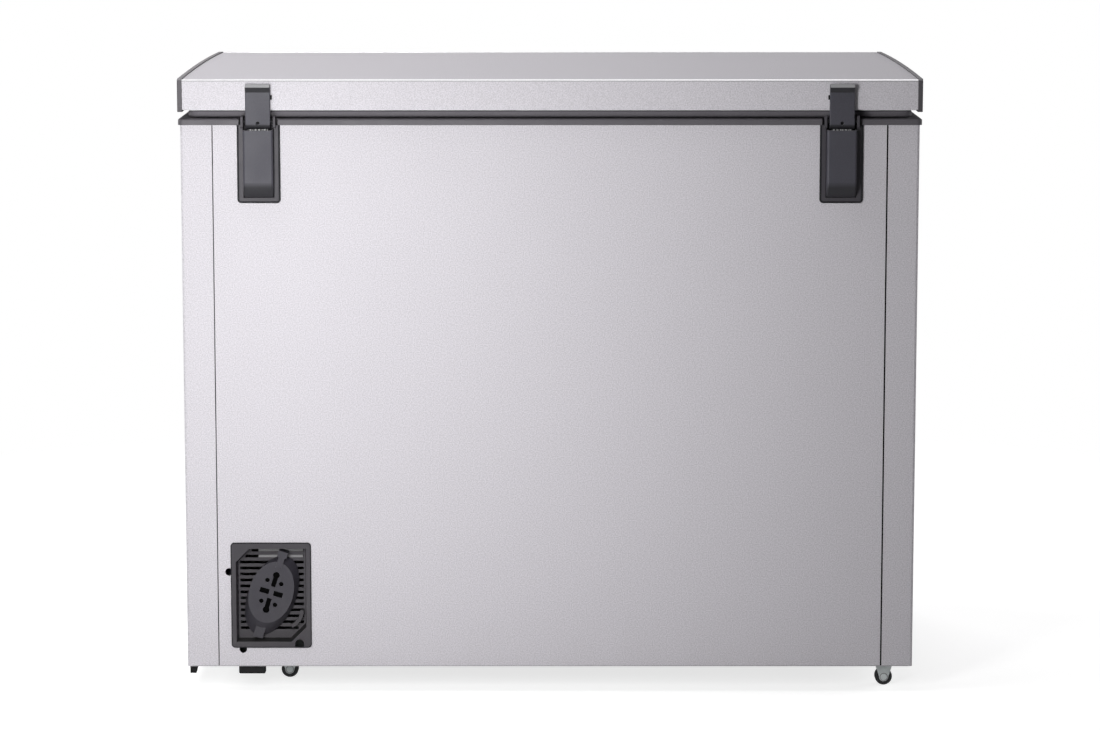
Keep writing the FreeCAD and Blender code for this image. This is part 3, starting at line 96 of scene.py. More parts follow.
def mixColours(tree, factor, first, second):
    node = newNode(tree, "ShaderNodeMix", data_type="RGBA")  # numbered sockets: A and B name every kind
    for index, value in ((0, factor), (6, first), (7, second)):
        feed(tree, node.inputs[index], value)
    return node.outputs[2]


def calc(tree, operation, first, second):
    node = newNode(tree, "ShaderNodeMath", operation=operation)
    feed(tree, node.inputs[0], first)
    feed(tree, node.inputs[1], second)
    return node.outputs[0]


def spread(tree, value, fromLow, fromHigh, toLow, toHigh):
    return newNode(
        tree,
        "ShaderNodeMapRange",
        {"Value": value, "From Min": fromLow, "From Max": fromHigh, "To Min": toLow, "To Max": toHigh},
    ).outputs["Result"]


def startGroup(name, inputs, outputs):
    group = bpy.data.node_groups.new(name, "ShaderNodeTree")
    for label, kind, value in inputs:
        group.interface.new_socket(label, in_out="INPUT", socket_type=kind).default_value = value
    for label, kind in outputs:
        group.interface.new_socket(label, in_out="OUTPUT", socket_type=kind)
    return group, group.nodes.new("NodeGroupInput").outputs, group.nodes.new("NodeGroupOutput").inputs


def placeGroup(tree, group, values):
    node = tree.nodes.new("ShaderNodeGroup")
    node.node_tree = group
    for label, value in values.items():
        feed(tree, node.inputs[label], value)
    return node.outputs


# shared surface effects

floatKind = "NodeSocketFloat"
colourKind = "NodeSocketColor"
vectorKind = "NodeSocketVector"
grey = (0.5, 0.5, 0.5, 1.0)


facingSet = {"upFrom": 0.25, "upTo": 0.7, "downFrom": -0.05, "downTo": -0.3}


def buildFacing(look):  # masks for faces that look up and faces that look down
    group, _, out = startGroup("facing", [], [("Up", floatKind), ("Down", floatKind)])
    normal = newNode(group, "ShaderNodeTexCoord").outputs["Normal"]
    rise = newNode(group, "ShaderNodeSeparateXYZ", {"Vector": normal}).outputs["Z"]
    feed(group, out["Up"], spread(group, rise, look["upFrom"], look["upTo"], 0.0, 1.0))
    feed(group, out["Down"], spread(group, rise, look["downFrom"], look["downTo"], 0.0, 1.0))
    return group


grainSet = {"detail": 2.0, "rough": 0.6, "middle": 0.5}


def buildFineGrain(look):  # speckle of two colours, with its height
    group, given, out = startGroup(
        "fineGrain",
        [
            ("Scale", floatKind, 800.0),
            ("Contrast", floatKind, 1.0),
            ("Dark", colourKind, grey),
            ("Light", colourKind, grey),
        ],
        [("Colour", colourKind), ("Height", floatKind)],
    )
    place = newNode(group, "ShaderNodeTexCoord").outputs["Object"]
    parts = newNode(group, "ShaderNodeSeparateXYZ", {"Vector": place}).outputs
    upright = calc(group, "SUBTRACT", 1.0, placeGroup(group, facing, {})["Up"])
    level = calc(group, "MULTIPLY", parts["Z"], upright)  # one level for all of a crowned top keeps it even
    coords = newNode(
        group, "ShaderNodeCombineXYZ", {"X": parts["X"], "Y": parts["Y"], "Z": level}
    ).outputs["Vector"]
    noise = newNode(
        group,
        "ShaderNodeTexNoise",
        {"Vector": coords, "Scale": given["Scale"], "Detail": look["detail"], "Roughness": look["rough"]},
    ).outputs["Fac"]
    around = calc(group, "SUBTRACT", noise, look["middle"])
    share = newNode(group, "ShaderNodeMath", operation="MULTIPLY_ADD")
    feed(group, share.inputs[0], around)
    feed(group, share.inputs[1], given["Contrast"])
    share.inputs[2].default_value = look["middle"]
    share.use_clamp = True
    feed(group, out["Colour"], mixColours(group, share.outputs[0], given["Dark"], given["Light"]))
    feed(group, out["Height"], noise)
    return group


patchSet = {"detail": 4.0, "rough": 0.55, "from": 0.3, "to": 0.7}


def buildSlowPatches(look):  # wide soft changes of a value
    group, given, out = startGroup(
        "slowPatches",
        [("Scale", floatKind, 5.0), ("Low", floatKind, 0.4), ("High", floatKind, 0.5)],
        [("Value", floatKind)],
    )
    coords = newNode(group, "ShaderNodeTexCoord").outputs["Object"]
    noise = newNode(
        group,
        "ShaderNodeTexNoise",
        {"Vector": coords, "Scale": given["Scale"], "Detail": look["detail"], "Roughness": look["rough"]},
    ).outputs["Fac"]
    value = spread(group, noise, look["from"], look["to"], given["Low"], given["High"])
    feed(group, out["Value"], value)
    return group


dustSet = {"cloud": 14.0, "detail": 6.0, "rough": 0.65, "from": 0.35, "to": 0.75}


def buildFloorDust(look):  # dust that thins out with height above the floor
    group, given, out = startGroup(
        "floorDust",
        [("Reach", floatKind, 0.2), ("Amount", floatKind, 0.2)],
        [("Mask", floatKind)],
    )
    coords = newNode(group, "ShaderNodeTexCoord").outputs["Object"]
    height = newNode(group, "ShaderNodeSeparateXYZ", {"Vector": coords}).outputs["Z"]
    near = spread(group, height, 0.0, given["Reach"], 1.0, 0.0)
    cloud = newNode(
        group,
        "ShaderNodeTexNoise",
        {"Vector": coords, "Scale": look["cloud"], "Detail": look["detail"], "Roughness": look["rough"]},
    ).outputs["Fac"]
    patchy = spread(group, cloud, look["from"], look["to"], 0.0, 1.0)
    settled = calc(group, "MULTIPLY", near, patchy)
    feed(group, out["Mask"], calc(group, "MULTIPLY", settled, given["Amount"]))
    return group


edgeSet = {"samples": 6, "flat": 1.0, "sharp": 0.8}


def buildSoftEdge(look):  # rounds the look of sharp edges and marks where they are
    group, given, out = startGroup(
        "softEdge",
        [("Radius", floatKind, 0.001)],
        [("Normal", vectorKind), ("Mask", floatKind)],
    )
    rounded = newNode(group, "ShaderNodeBevel", {"Radius": given["Radius"]}, samples=look["samples"])
    bevel = rounded.outputs["Normal"]
    plain = newNode(group, "ShaderNodeNewGeometry").outputs["Normal"]
    meet = newNode(group, "ShaderNodeVectorMath", operation="DOT_PRODUCT")
    feed(group, meet.inputs[0], bevel)
    feed(group, meet.inputs[1], plain)
    feed(group, out["Normal"], bevel)
    feed(group, out["Mask"], spread(group, meet.outputs["Value"], look["flat"], look["sharp"], 0.0, 1.0))
    return group


glintSet = {"detail": 1.0, "from": 0.46, "to": 0.56}


def buildPaintedGlints(look):  # painted glints: bright dashes along X over the base colour of a part
    group, given, out = startGroup("paintedGlints", [("Scale", floatKind, 300.0)], [("Mask", floatKind)])
    coords = newNode(group, "ShaderNodeTexCoord").outputs["Object"]
    across = newNode(group, "ShaderNodeSeparateXYZ", {"Vector": coords}).outputs["X"]
    noise = newNode(
        group,
        "ShaderNodeTexNoise",
        {"W": across, "Scale": given["Scale"], "Detail": look["detail"]},
        noise_dimensions="1D",
    ).outputs["Fac"]
    feed(group, out["Mask"], spread(group, noise, look["from"], look["to"], 0.0, 1.0))
    return group


facing = buildFacing(facingSet)
fineGrain = buildFineGrain(grainSet)
slowPatches = buildSlowPatches(patchSet)
floorDust = buildFloorDust(dustSet)
softEdge = buildSoftEdge(edgeSet)
paintedGlints = buildPaintedGlints(glintSet)
print("surface effects ready")


# materials


def colour(red, green, blue):
    return (red, green, blue, 1.0)


grainDepth = 0.0004
dustColour = colour(0.36, 0.34, 0.31)


def dressed(name, look):  # paint, plastic, rubber and bare metal all start from these parts
    material = bpy.data.materials.new(name)
    material.use_nodes = True
    tree = material.node_tree
    shader = tree.nodes["Principled BSDF"]
    for label, value in look.get("plain", {}).items():
        shader.inputs[label].default_value = value
    grain = placeGroup(
        tree,
        fineGrain,
        {"Scale": look["grain"], "Contrast": look["contrast"], "Dark": look["dark"], "Light": look["light"]},
    )
    patches = placeGroup(
        tree, slowPatches, {"Scale": look["patch"], "Low": look["rough"][0], "High": look["rough"][1]}
    )
    surface = grain["Colour"]
    bump = newNode(
        tree, "ShaderNodeBump", {"Height": grain["Height"], "Strength": look["bump"], "Distance": grainDepth}
    )
    if "edge" in look:
        edge = placeGroup(tree, softEdge, {"Radius": look["edge"]})
        worn = calc(tree, "MULTIPLY", edge["Mask"], look["wear"])
        surface = mixColours(tree, worn, surface, look["wornColour"])
        feed(tree, bump.inputs["Normal"], edge["Normal"])
    # painted light and shade: faces that look up take the painted up-shading colour, faces that look down the
    # painted down-shading colour
    if "paintedUpShading" in look:
        tilt = placeGroup(tree, facing, {})
        surface = mixColours(tree, tilt["Up"], surface, look["paintedUpShading"])
        surface = mixColours(tree, tilt["Down"], surface, look["paintedDownShading"])
    # painted glints: bright dashes mixed over the base colour
    if "glintScale" in look:
        glints = placeGroup(tree, paintedGlints, {"Scale": look["glintScale"]})
        surface = mixColours(tree, glints["Mask"], surface, look["glintColour"])
    if "dust" in look:
        dust = placeGroup(tree, floorDust, {"Reach": look["dustReach"], "Amount": look["dust"]})
        surface = mixColours(tree, dust["Mask"], surface, dustColour)
    feed(tree, shader.inputs["Base Color"], surface)
    feed(tree, shader.inputs["Roughness"], patches["Value"])
    feed(tree, shader.inputs["Normal"], bump.outputs["Normal"])
    return material


silverLook = {
    "dark": colour(0.501, 0.484, 0.515),
    "light": colour(0.702, 0.677, 0.721),
    "grain": 620.0,  # the flat walls lie at whole steps of this scale, where the speckle is finest
    "contrast": 3.0,
    "patch": 4.0,
    "rough": (0.54, 0.62),
    "bump": 0.04,
    "dust": 0.12,
    "dustReach": 0.12,
    "plain": {"Metallic": 0.03, "Specular IOR Level": 0.3},
}
darkLook = {
    "dark": colour(0.06, 0.058, 0.068),
    "light": colour(0.102, 0.099, 0.113),
    "grain": 1300.0,
    "contrast": 1.6,
    "patch": 22.0,
    "rough": (0.48, 0.6),
    "bump": 0.25,
    "edge": 0.0008,
    "wear": 0.35,
    "wornColour": colour(0.2, 0.196, 0.21),
    "dust": 0.12,
    "dustReach": 0.2,
    "plain": {"Specular IOR Level": 0.4},
}
collarLook = dict(darkLook, dark=colour(0.074, 0.07, 0.078), light=colour(0.12, 0.112, 0.126))
# painted light: a pale highlight on the up-facing bevels of the hinge leaves and covers, and a painted shade
# on their down-facing slopes
hingeLook = dict(
    darkLook,
    dark=colour(0.041, 0.04, 0.051),
    light=colour(0.07, 0.068, 0.086),
    paintedUpShading=colour(0.31, 0.31, 0.32),
    paintedDownShading=colour(0.024, 0.0235, 0.028),
)
baseLook = dict(darkLook, dark=colour(0.036, 0.033, 0.04), light=colour(0.061, 0.056, 0.067), wear=0.15)
# painted shade: near black on the up-facing inner walls of the vent recess, and a dark colour on its
# down-facing faces
ventLook = dict(
    darkLook,
    dark=colour(0.033, 0.03, 0.036),
    light=colour(0.053, 0.048, 0.057),
    paintedUpShading=colour(0.004, 0.004, 0.005),
    paintedDownShading=colour(0.04, 0.038, 0.042),
)
winderLook = dict(darkLook, dark=colour(0.027, 0.025, 0.033), light=colour(0.044, 0.041, 0.053))
# painted light: a pale highlight on the up-facing tops of the end caps and a painted shade on their
# down-facing faces
capLook = dict(
    darkLook,
    dark=colour(0.059, 0.0545, 0.061),
    light=colour(0.095, 0.088, 0.0985),
    edge=0.0015,
    wear=0.1,
    paintedUpShading=colour(0.24, 0.232, 0.246),
    paintedDownShading=colour(0.03, 0.029, 0.031),
)
gasketLook = {
    "dark": colour(0.107, 0.1, 0.113),
    "light": colour(0.168, 0.158, 0.176),
    "grain": 700.0,
    "contrast": 1.0,
    "patch": 9.0,
    "rough": (0.55, 0.7),
    "bump": 0.15,
    "plain": {"Specular IOR Level": 0.3},
}
rubberLook = {
    "dark": colour(0.006, 0.006, 0.007),
    "light": colour(0.014, 0.014, 0.015),
    "grain": 1500.0,
    "contrast": 1.4,
    "patch": 30.0,
    "rough": (0.6, 0.78),
    "bump": 0.3,
    "edge": 0.0008,
    "wear": 0.3,
    "wornColour": colour(0.03, 0.03, 0.031),
    "dust": 0.03,
    "dustReach": 0.06,
    "plain": {"Specular IOR Level": 0.2},
}
# painted shade: near black, without wear or dust, for the outline bands round the hinge bases and the vent
outlineShadeLook = dict(
    rubberLook,
    dark=colour(0.01, 0.01, 0.012),
    light=colour(0.02, 0.02, 0.023),
    wear=0.0,
    dust=0.0,
)
# painted shade: flat black with no sheen, for sheets put where only shade is seen
blackShadeLook = dict(
    outlineShadeLook,
    dark=colour(0.002, 0.002, 0.002),
    light=colour(0.005, 0.005, 0.005),
    plain={"Specular IOR Level": 0.0},
)
bayLook = dict(rubberLook, dark=colour(0.2, 0.197, 0.203), light=colour(0.32, 0.316, 0.325), wear=0.0)
wheelLook = dict(
    rubberLook,
    dark=colour(0.03, 0.03, 0.032),
    light=colour(0.06, 0.06, 0.063),
    rough=(0.38, 0.52),
    bump=0.12,
    wornColour=colour(0.14, 0.14, 0.143),
)
zincLook = {
    "dark": colour(0.36, 0.39, 0.39),
    "light": colour(0.58, 0.62, 0.62),
    "grain": 160.0,
    "contrast": 1.8,
    "patch": 40.0,
    "rough": (0.28, 0.46),
    "bump": 0.08,
    "edge": 0.0005,
    "wear": 0.25,
    "wornColour": colour(0.8, 0.8, 0.79),
    "dust": 0.15,
    "dustReach": 0.06,
    "plain": {"Metallic": 0.35},
}
# painted light: a much lighter copy of the zinc, so the caster brackets and axles look lit in the shade under
# the cabinet
bracketLook = dict(
    zincLook,
    dark=colour(0.78, 0.83, 0.83),
    light=colour(0.88, 0.93, 0.93),
    wornColour=colour(0.95, 0.95, 0.95),
    plain={"Metallic": 0.1},
)
# painted glints: bright dashes on dark steel for the hinge plungers seen in the gap under the leaf
glintedLook = {
    "dark": colour(0.01, 0.01, 0.01),
    "light": colour(0.03, 0.03, 0.03),
    "grain": 500.0,
    "contrast": 1.0,
    "patch": 60.0,
    "rough": (0.4, 0.5),
    "bump": 0.04,
    "glintScale": 420.0,
    "glintColour": colour(0.86, 0.86, 0.87),
}
# painted highlight: a lighter, near-mirror copy of the silver for the hem fold; its metal also reflects the
# strip lamp
hemHighlightLook = dict(
    silverLook,
    dark=colour(0.78, 0.77, 0.79),
    light=colour(0.88, 0.87, 0.89),
    rough=(0.28, 0.32),
    plain={"Metallic": 0.9},
)
shadeLook = dict(silverLook, dark=colour(0.34, 0.332, 0.348), light=colour(0.46, 0.45, 0.47))
brightLook = {
    "dark": colour(0.6, 0.6, 0.61),
    "light": colour(0.78, 0.78, 0.79),
    "grain": 500.0,
    "contrast": 1.0,
    "patch": 60.0,
    "rough": (0.14, 0.26),
    "bump": 0.04,
    "plain": {"Metallic": 1.0},
}
whiteLook = {
    "dark": colour(0.76, 0.77, 0.78),
    "light": colour(0.86, 0.87, 0.88),
    "grain": 260.0,
    "contrast": 0.8,
    "patch": 6.0,
    "rough": (0.29, 0.33),
    "bump": 0.04,
    "edge": 0.001,
    "wear": 0.3,
    "wornColour": colour(0.92, 0.92, 0.92),
    "plain": {"Specular IOR Level": 0.5},
}
foamLook = {
    "dark": colour(0.52, 0.43, 0.24),
    "light": colour(0.78, 0.69, 0.45),
    "grain": 1100.0,
    "contrast": 2.0,
    "patch": 12.0,
    "rough": (0.82, 0.95),
    "bump": 0.8,
}
enamelLook = {
    "dark": colour(0.012, 0.012, 0.013),
    "light": colour(0.026, 0.026, 0.028),
    "grain": 600.0,
    "contrast": 1.2,
    "patch": 20.0,
    "rough": (0.2, 0.34),
    "bump": 0.1,
    "dust": 0.3,
    "dustReach": 0.3,
    "plain": {"Coat Weight": 0.3},
}
copperLook = {
    "dark": colour(0.36, 0.16, 0.08),
    "light": colour(0.78, 0.42, 0.27),
    "grain": 45.0,
    "contrast": 1.6,
    "patch": 30.0,
    "rough": (0.22, 0.45),
    "bump": 0.05,
    "plain": {"Metallic": 1.0},
}
ironLook = {
    "dark": colour(0.1, 0.1, 0.105),
    "light": colour(0.24, 0.24, 0.25),
    "grain": 420.0,
    "contrast": 1.8,
    "patch": 24.0,
    "rough": (0.5, 0.7),
    "bump": 0.5,
    "plain": {"Metallic": 0.9},
}
boardLook = {
    "dark": colour(0.02, 0.1, 0.04),
    "light": colour(0.06, 0.24, 0.1),
    "grain": 700.0,
    "contrast": 2.6,
    "patch": 80.0,
    "rough": (0.3, 0.5),
    "bump": 0.2,
}
lampLook = {
    "dark": colour(0.84, 0.87, 0.89),
    "light": colour(0.94, 0.96, 0.97),
    "grain": 900.0,
    "contrast": 1.0,
    "patch": 30.0,
    "rough": (0.38, 0.52),
    "bump": 0.3,
    "plain": {"Transmission Weight": 0.85, "IOR": 1.49},
}
indicatorLook = {
    "dark": colour(0.06, 0.36, 0.1),
    "light": colour(0.12, 0.56, 0.18),
    "grain": 900.0,
    "contrast": 0.8,
    "patch": 200.0,
    "rough": (0.1, 0.2),
    "bump": 0.05,
    "plain": {"Transmission Weight": 0.3, "Coat Weight": 0.5},
}
printLook = dict(whiteLook, grain=1800.0, rough=(0.45, 0.6))
stuccoLook = {
    "dark": colour(0.7, 0.71, 0.72),
    "light": colour(0.84, 0.85, 0.86),
    "grain": 500.0,
    "contrast": 0.8,
    "patch": 7.0,
    "rough": (0.3, 0.42),
    "bump": 0.05,
    "dimples": 240.0,
    "dimpleSoft": 0.6,
    "dimpleStrength": 0.6,
    "dimpleDepth": 0.0012,
    "plain": {"Metallic": 0.55},
}


def addDimples(material, look):  # hammered sheet: rounded dents a few millimetres apart
    tree = material.node_tree
    shader = tree.nodes["Principled BSDF"]
    coords = newNode(tree, "ShaderNodeTexCoord").outputs["Object"]
    cells = newNode(
        tree,
        "ShaderNodeTexVoronoi",
        {"Vector": coords, "Scale": look["dimples"], "Smoothness": look["dimpleSoft"]},
        feature="SMOOTH_F1",
    ).outputs["Distance"]
    dents = newNode(
        tree,
        "ShaderNodeBump",
        {"Height": cells, "Strength": look["dimpleStrength"], "Distance": look["dimpleDepth"]},
    )
    feed(tree, dents.inputs["Normal"], shader.inputs["Normal"].links[0].from_socket)
    feed(tree, shader.inputs["Normal"], dents.outputs["Normal"])


silverSheet = dressed("silverSheet", silverLook)
darkPlastic = dressed("darkPlastic", darkLook)
collarPlastic = dressed("collarPlastic", collarLook)
hingePlastic = dressed("hingePlastic", hingeLook)
basePlastic = dressed("basePlastic", baseLook)
ventPlastic = dressed("ventPlastic", ventLook)
winderPlastic = dressed("winderPlastic", winderLook)
capPlastic = dressed("capPlastic", capLook)
gasketRubber = dressed("gasketRubber", gasketLook)
blackRubber = dressed("blackRubber", rubberLook)
outlineShade = dressed("outlineShade", outlineShadeLook)
blackShadeSheet = dressed("blackShadeSheet", blackShadeLook)
baySheet = dressed("baySheet", bayLook)
litZinc = dressed("litZinc", bracketLook)
glintedSteel = dressed("glintedSteel", glintedLook)
hemHighlightSheet = dressed("hemHighlightSheet", hemHighlightLook)
shadedSheet = dressed("shadedSheet", shadeLook)
wheelPlastic = dressed("wheelPlastic", wheelLook)
zincPlate = dressed("zincPlate", zincLook)
brightSteel = dressed("brightSteel", brightLook)
whitePlastic = dressed("whitePlastic", whiteLook)
paleFoam = dressed("paleFoam", foamLook)
blackEnamel = dressed("blackEnamel", enamelLook)
drawnCopper = dressed("drawnCopper", copperLook)
bareIron = dressed("bareIron", ironLook)
greenBoard = dressed("greenBoard", boardLook)
frostedLens = dressed("frostedLens", lampLook)
greenLens = dressed("greenLens", indicatorLook)
whitePrint = dressed("whitePrint", printLook)
stuccoSheet = dressed("stuccoSheet", stuccoLook)
addDimples(stuccoSheet, stuccoLook)

finishes = [
    (silverSheet, ["outer_shell", "rear_panel", "lid_skin"]),
    (collarPlastic, ["top_collar"]),
    (darkPlastic, ["lid_handle", "control_panel", "control_knob", "terminal_cover", "thermostat_body"]),
    (basePlastic, ["hinge_base_left", "hinge_base_right"]),
    (hingePlastic, ["hinge_cover_left", "hinge_cover_right", "hinge_leaf_left", "hinge_leaf_right"]),
    (ventPlastic, ["vent_cover"]),
    (winderPlastic, ["cord_winder"]),
    (capPlastic, ["lid_end_cap_left", "lid_end_cap_right"]),
    (gasketRubber, ["lid_gasket"]),
    (
        blackRubber,
        ["compressor_grommets", "corner_skid", "tray_bumper", "seam_strips", "leaf_pins", "hinge_pins"],
    ),
    (wheelPlastic, [name for name in nodes if name.startswith("caster_wheel")]),
    (zincPlate, ["bottom_panel", "compressor_tray", "bay_liner", "compressor_bolts", "hinge_screws"]),
    (litZinc, ["caster_brackets", "caster_axles"]),
    (glintedSteel, ["hinge_plunger_left", "hinge_plunger_right"]),
    (brightSteel, ["hinge_spring_left", "hinge_spring_right"]),
    (whitePlastic, ["lid_liner", "storage_basket", "drain_plug", "drain_tube"]),
    (paleFoam, ["insulation_foam", "lid_foam"]),
    (blackEnamel, ["compressor_shell", "compressor_feet"]),
    (drawnCopper, ["evaporator_tube", "condenser_tube", "refrigerant_pipes", "filter_drier"]),
    (bareIron, ["compressor_motor"]),
    (greenBoard, ["lamp_board"]),
    (frostedLens, ["lamp_lens"]),
    (greenLens, ["indicator_lenses"]),
    (stuccoSheet, ["inner_tank"]),
]
for material, names in finishes:
    for name in names:
        nodes[name].data.materials.clear()
        nodes[name].data.materials.append(material)
print("finishes on all CAD nodes")


# pieces that the frame doesn't have


def addPiece(name, points, faces, material, body, slotName):
    mesh = bpy.data.meshes.new(name)
    mesh.from_pydata(points, [], faces)
    tool = bmesh.new()
    tool.from_mesh(mesh)
    bmesh.ops.recalc_face_normals(tool, faces=tool.faces)
    tool.to_mesh(mesh)
    tool.free()
    mesh.materials.append(material)
    piece = bpy.data.objects.new(name, mesh)
    scene.collection.objects.link(piece)
    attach(piece, body)
    return piece


def soften(piece, angle):
    piece.data.shade_smooth()
    piece.data.set_sharp_from_angle(angle=math.radians(angle))


def loopFaces(rings, perRing, closed):  # quads between neighbouring rings of points
    faces = []
    for ring in range(rings if closed else rings - 1):
        for spot in range(perRing):
            after = (spot + 1) % perRing
            near = ring * perRing
            far = (ring + 1) % rings * perRing
            faces.append((near + spot, near + after, far + after, far + spot))
    return faces


def prismFaces(corners):  # sides and both ends of a section carried from one place to another
    near = tuple(range(corners))
    far = tuple(corner + corners for corner in near)
    return loopFaces(2, corners, False) + [near, far]


def roundedLoop(halfWidth, halfDepth, radius, steps):  # a rounded rectangle: each point and its way out
    loop = []
    for turn, (signX, signY) in enumerate(((1, 1), (-1, 1), (-1, -1), (1, -1))):
        for step in range(steps + 1):
            angle = math.radians(90 * turn + 90 * step / steps)
            out = (math.cos(angle), math.sin(angle))
            centre = (signX * (halfWidth - radius), signY * (halfDepth - radius))
            loop.append(((centre[0] + radius * out[0], centre[1] + radius * out[1]), out))
    return loop


def block(lowX, highX, lowY, highY, lowZ, highZ):
    points = [(x, y, z) for x in (lowX, highX) for y in (lowY, highY) for z in (lowZ, highZ)]
    faces = [(0, 1, 3, 2), (4, 6, 7, 5), (0, 4, 5, 1), (2, 3, 7, 6), (0, 2, 6, 4), (1, 5, 7, 3)]
    return points, faces


gasketSet = {
    "width": 0.014,
    "tuck": 0.005,
    "power": 5,  # a higher one keeps the tuck nearer to the lips
    "levels": 24,
    "corner": 0.014,
    "steps": 8,
    "smooth": 50,
}


def makeGasket(look):  # soft seal whose sides bulge and tuck in at the lips, in place of the plain ring
    low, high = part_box("lid_gasket")
    loop = roundedLoop(high[0], high[1], look["corner"], look["steps"])
    side = []
    for level in range(look["levels"] + 1):
        share = level / look["levels"]
        inward = look["tuck"] * abs(2 * share - 1) ** look["power"]
        side.append((inward, low[2] + share * (high[2] - low[2])))
    profile = side + [(look["width"] - inward, height) for inward, height in reversed(side)]
    points = [
        (place[0] - out[0] * inward, place[1] - out[1] * inward, height)
        for place, out in loop
        for inward, height in profile
    ]
    faces = loopFaces(len(loop), len(profile), True)
    piece = addPiece("bulgedGasket", points, faces, gasketRubber, "lid", "gasket_rubber")
    soften(piece, look["smooth"])
    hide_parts("lid_gasket")


outlineShadeSet = {"hinge": 0.0026, "vent": 0.0013, "corner": 0.005, "proud": 0.00005, "plate": 0.002, "steps": 6}


def makeOutlineShade(name, node, border, look, openTop):  # painted shade: a near-black band on the outer edge of a flange, outlining it against the sheet
    low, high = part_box(node)
    outer = (high[0] - low[0]) / 2
    middle = (low[0] + high[0]) / 2
    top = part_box("rear_panel")[1][2] if openTop else high[2]
    tall = (top - low[2]) / 2
    centre = (low[2] + top) / 2
    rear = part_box("rear_panel")[1][1]
    face = rear + look["plate"] + look["proud"]
    rings = []
    for inset in (0.0, border):
        loop = roundedLoop(outer - inset, tall - inset, look["corner"] - inset, look["steps"])
        ring = [spot for spot, out in loop]
        if openTop:  # only the two lower corners, with the sides carried up to the collar
            ring = [(inset - outer, tall)] + ring[len(ring) // 2 :] + [(outer - inset, tall)]
        rings.append(ring)
    points = []
    for outside, inside in zip(*rings):
        for spot, depth in ((outside, rear), (outside, face), (inside, face), (inside, rear)):
            points.append((middle + spot[0], depth, centre + spot[1]))
    faces = loopFaces(len(rings[0]), 4, not openTop)
    if openTop:
        faces += [(0, 1, 2, 3), tuple(range(len(points) - 4, len(points)))]
    addPiece(name, points, faces, outlineShade, "cabinet", "black_rubber")


hemSet = {
    "crown": 0.003,  # rise of the lid's top above its edges
    "sink": 0.0012,
    "proud": 0.0005,
    "shadeStrip": 0.0013,
    "lip": 0.00008,
}


def makeHem(name, side, look):  # folded hem along a top edge of the lid sheet, painted as a highlight in lighter near-mirror silver, with a strip of darker silver under it as painted shade
    low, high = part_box("lid_skin")
    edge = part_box("lid_end_cap_left")[0][0]
    face = high[1] if side > 0 else low[1]
    top = high[2] - look["crown"]
    section = ((look["proud"], -look["sink"]), (-look["sink"], look["proud"]), (-look["sink"], -look["sink"]))
    points = [(end, face + side * out, top + up) for end in (-edge, edge) for out, up in section]
    addPiece(f"{name}Fold", points, prismFaces(len(section)), hemHighlightSheet, "lid", "silver_steel")
    under = top - look["sink"]
    inner = face - side * look["sink"]
    outer = face + side * look["lip"]
    shadeStrip = block(-edge, edge, min(inner, outer), max(inner, outer), under - look["shadeStrip"], under)
    addPiece(f"{name}ShadeStrip", *shadeStrip, shadedSheet, "lid", "silver_steel")


bottomShadeSet = {"tall": 0.0013, "proud": 0.00008, "corner": 0.006}


def makeBottomShade(look):  # painted shade: a strip of darker silver along the lower edge of the rear sheet
    low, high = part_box("rear_panel")
    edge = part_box("outer_shell")[1][0] - look["corner"]
    strip = block(-edge, edge, high[1], high[1] + look["proud"], low[2], low[2] + look["tall"])
    addPiece("rearBottomShade", *strip, shadedSheet, "cabinet", "silver_steel")


seamSet = {"width": 0.0021, "proud": 0.00006}


def makeSeamLine(look):  # painted shade: a black line on the seam away from the light, as wide as the shade on its rounded lips
    low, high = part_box("seam_strips")
    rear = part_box("outer_shell")[1][1]
    line = block(low[0], low[0] + look["width"], rear, rear + look["proud"], low[2], high[2])
    addPiece("rightSeamLine", *line, blackShadeSheet, "cabinet", "black_rubber")


rivetSet = {"inner": 0.0046, "outer": 0.0057, "plateOut": 0.0023, "thick": 0.0003, "steps": 24}


def makeRivetRings(look):  # painted shade: a thin ring of darker silver round each caster rivet, outlining its head
    points = []
    faces = []
    for end in ("rear_left", "rear_right", "front_left", "front_right"):
        low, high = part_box(f"caster_wheel_{end}")
        centreX = (low[0] + high[0]) / 2
        centreZ = (low[2] + high[2]) / 2
        for side, tread in ((-1, low[1]), (1, high[1])):
            plate = tread + side * look["plateOut"]
            start = len(points)
            for step in range(look["steps"]):
                angle = 2 * math.pi * step / look["steps"]
                for reach, depth in (("outer", 0), ("outer", 1), ("inner", 1), ("inner", 0)):
                    x = centreX + look[reach] * math.cos(angle)
                    z = centreZ + look[reach] * math.sin(angle)
                    points.append((x, plate + side * depth * look["thick"], z))
            for corners in loopFaces(look["steps"], 4, True):
                faces.append(tuple(start + corner for corner in corners))
    addPiece("rivetRings", points, faces, shadedSheet, "cabinet", "zinc_steel")


dialSet = {
    "marks": 7,
    "sweep": 270.0,
    "inner": 0.0195,
    "length": 0.0034,
    "width": 0.0008,
    "growth": 0.00022,  # each mark is wider than the one before it
    "thick": 0.00015,
    "pointerHalf": 0.0008,
    "pointerDown": 0.0034,
    "pointerLength": 0.0068,
}


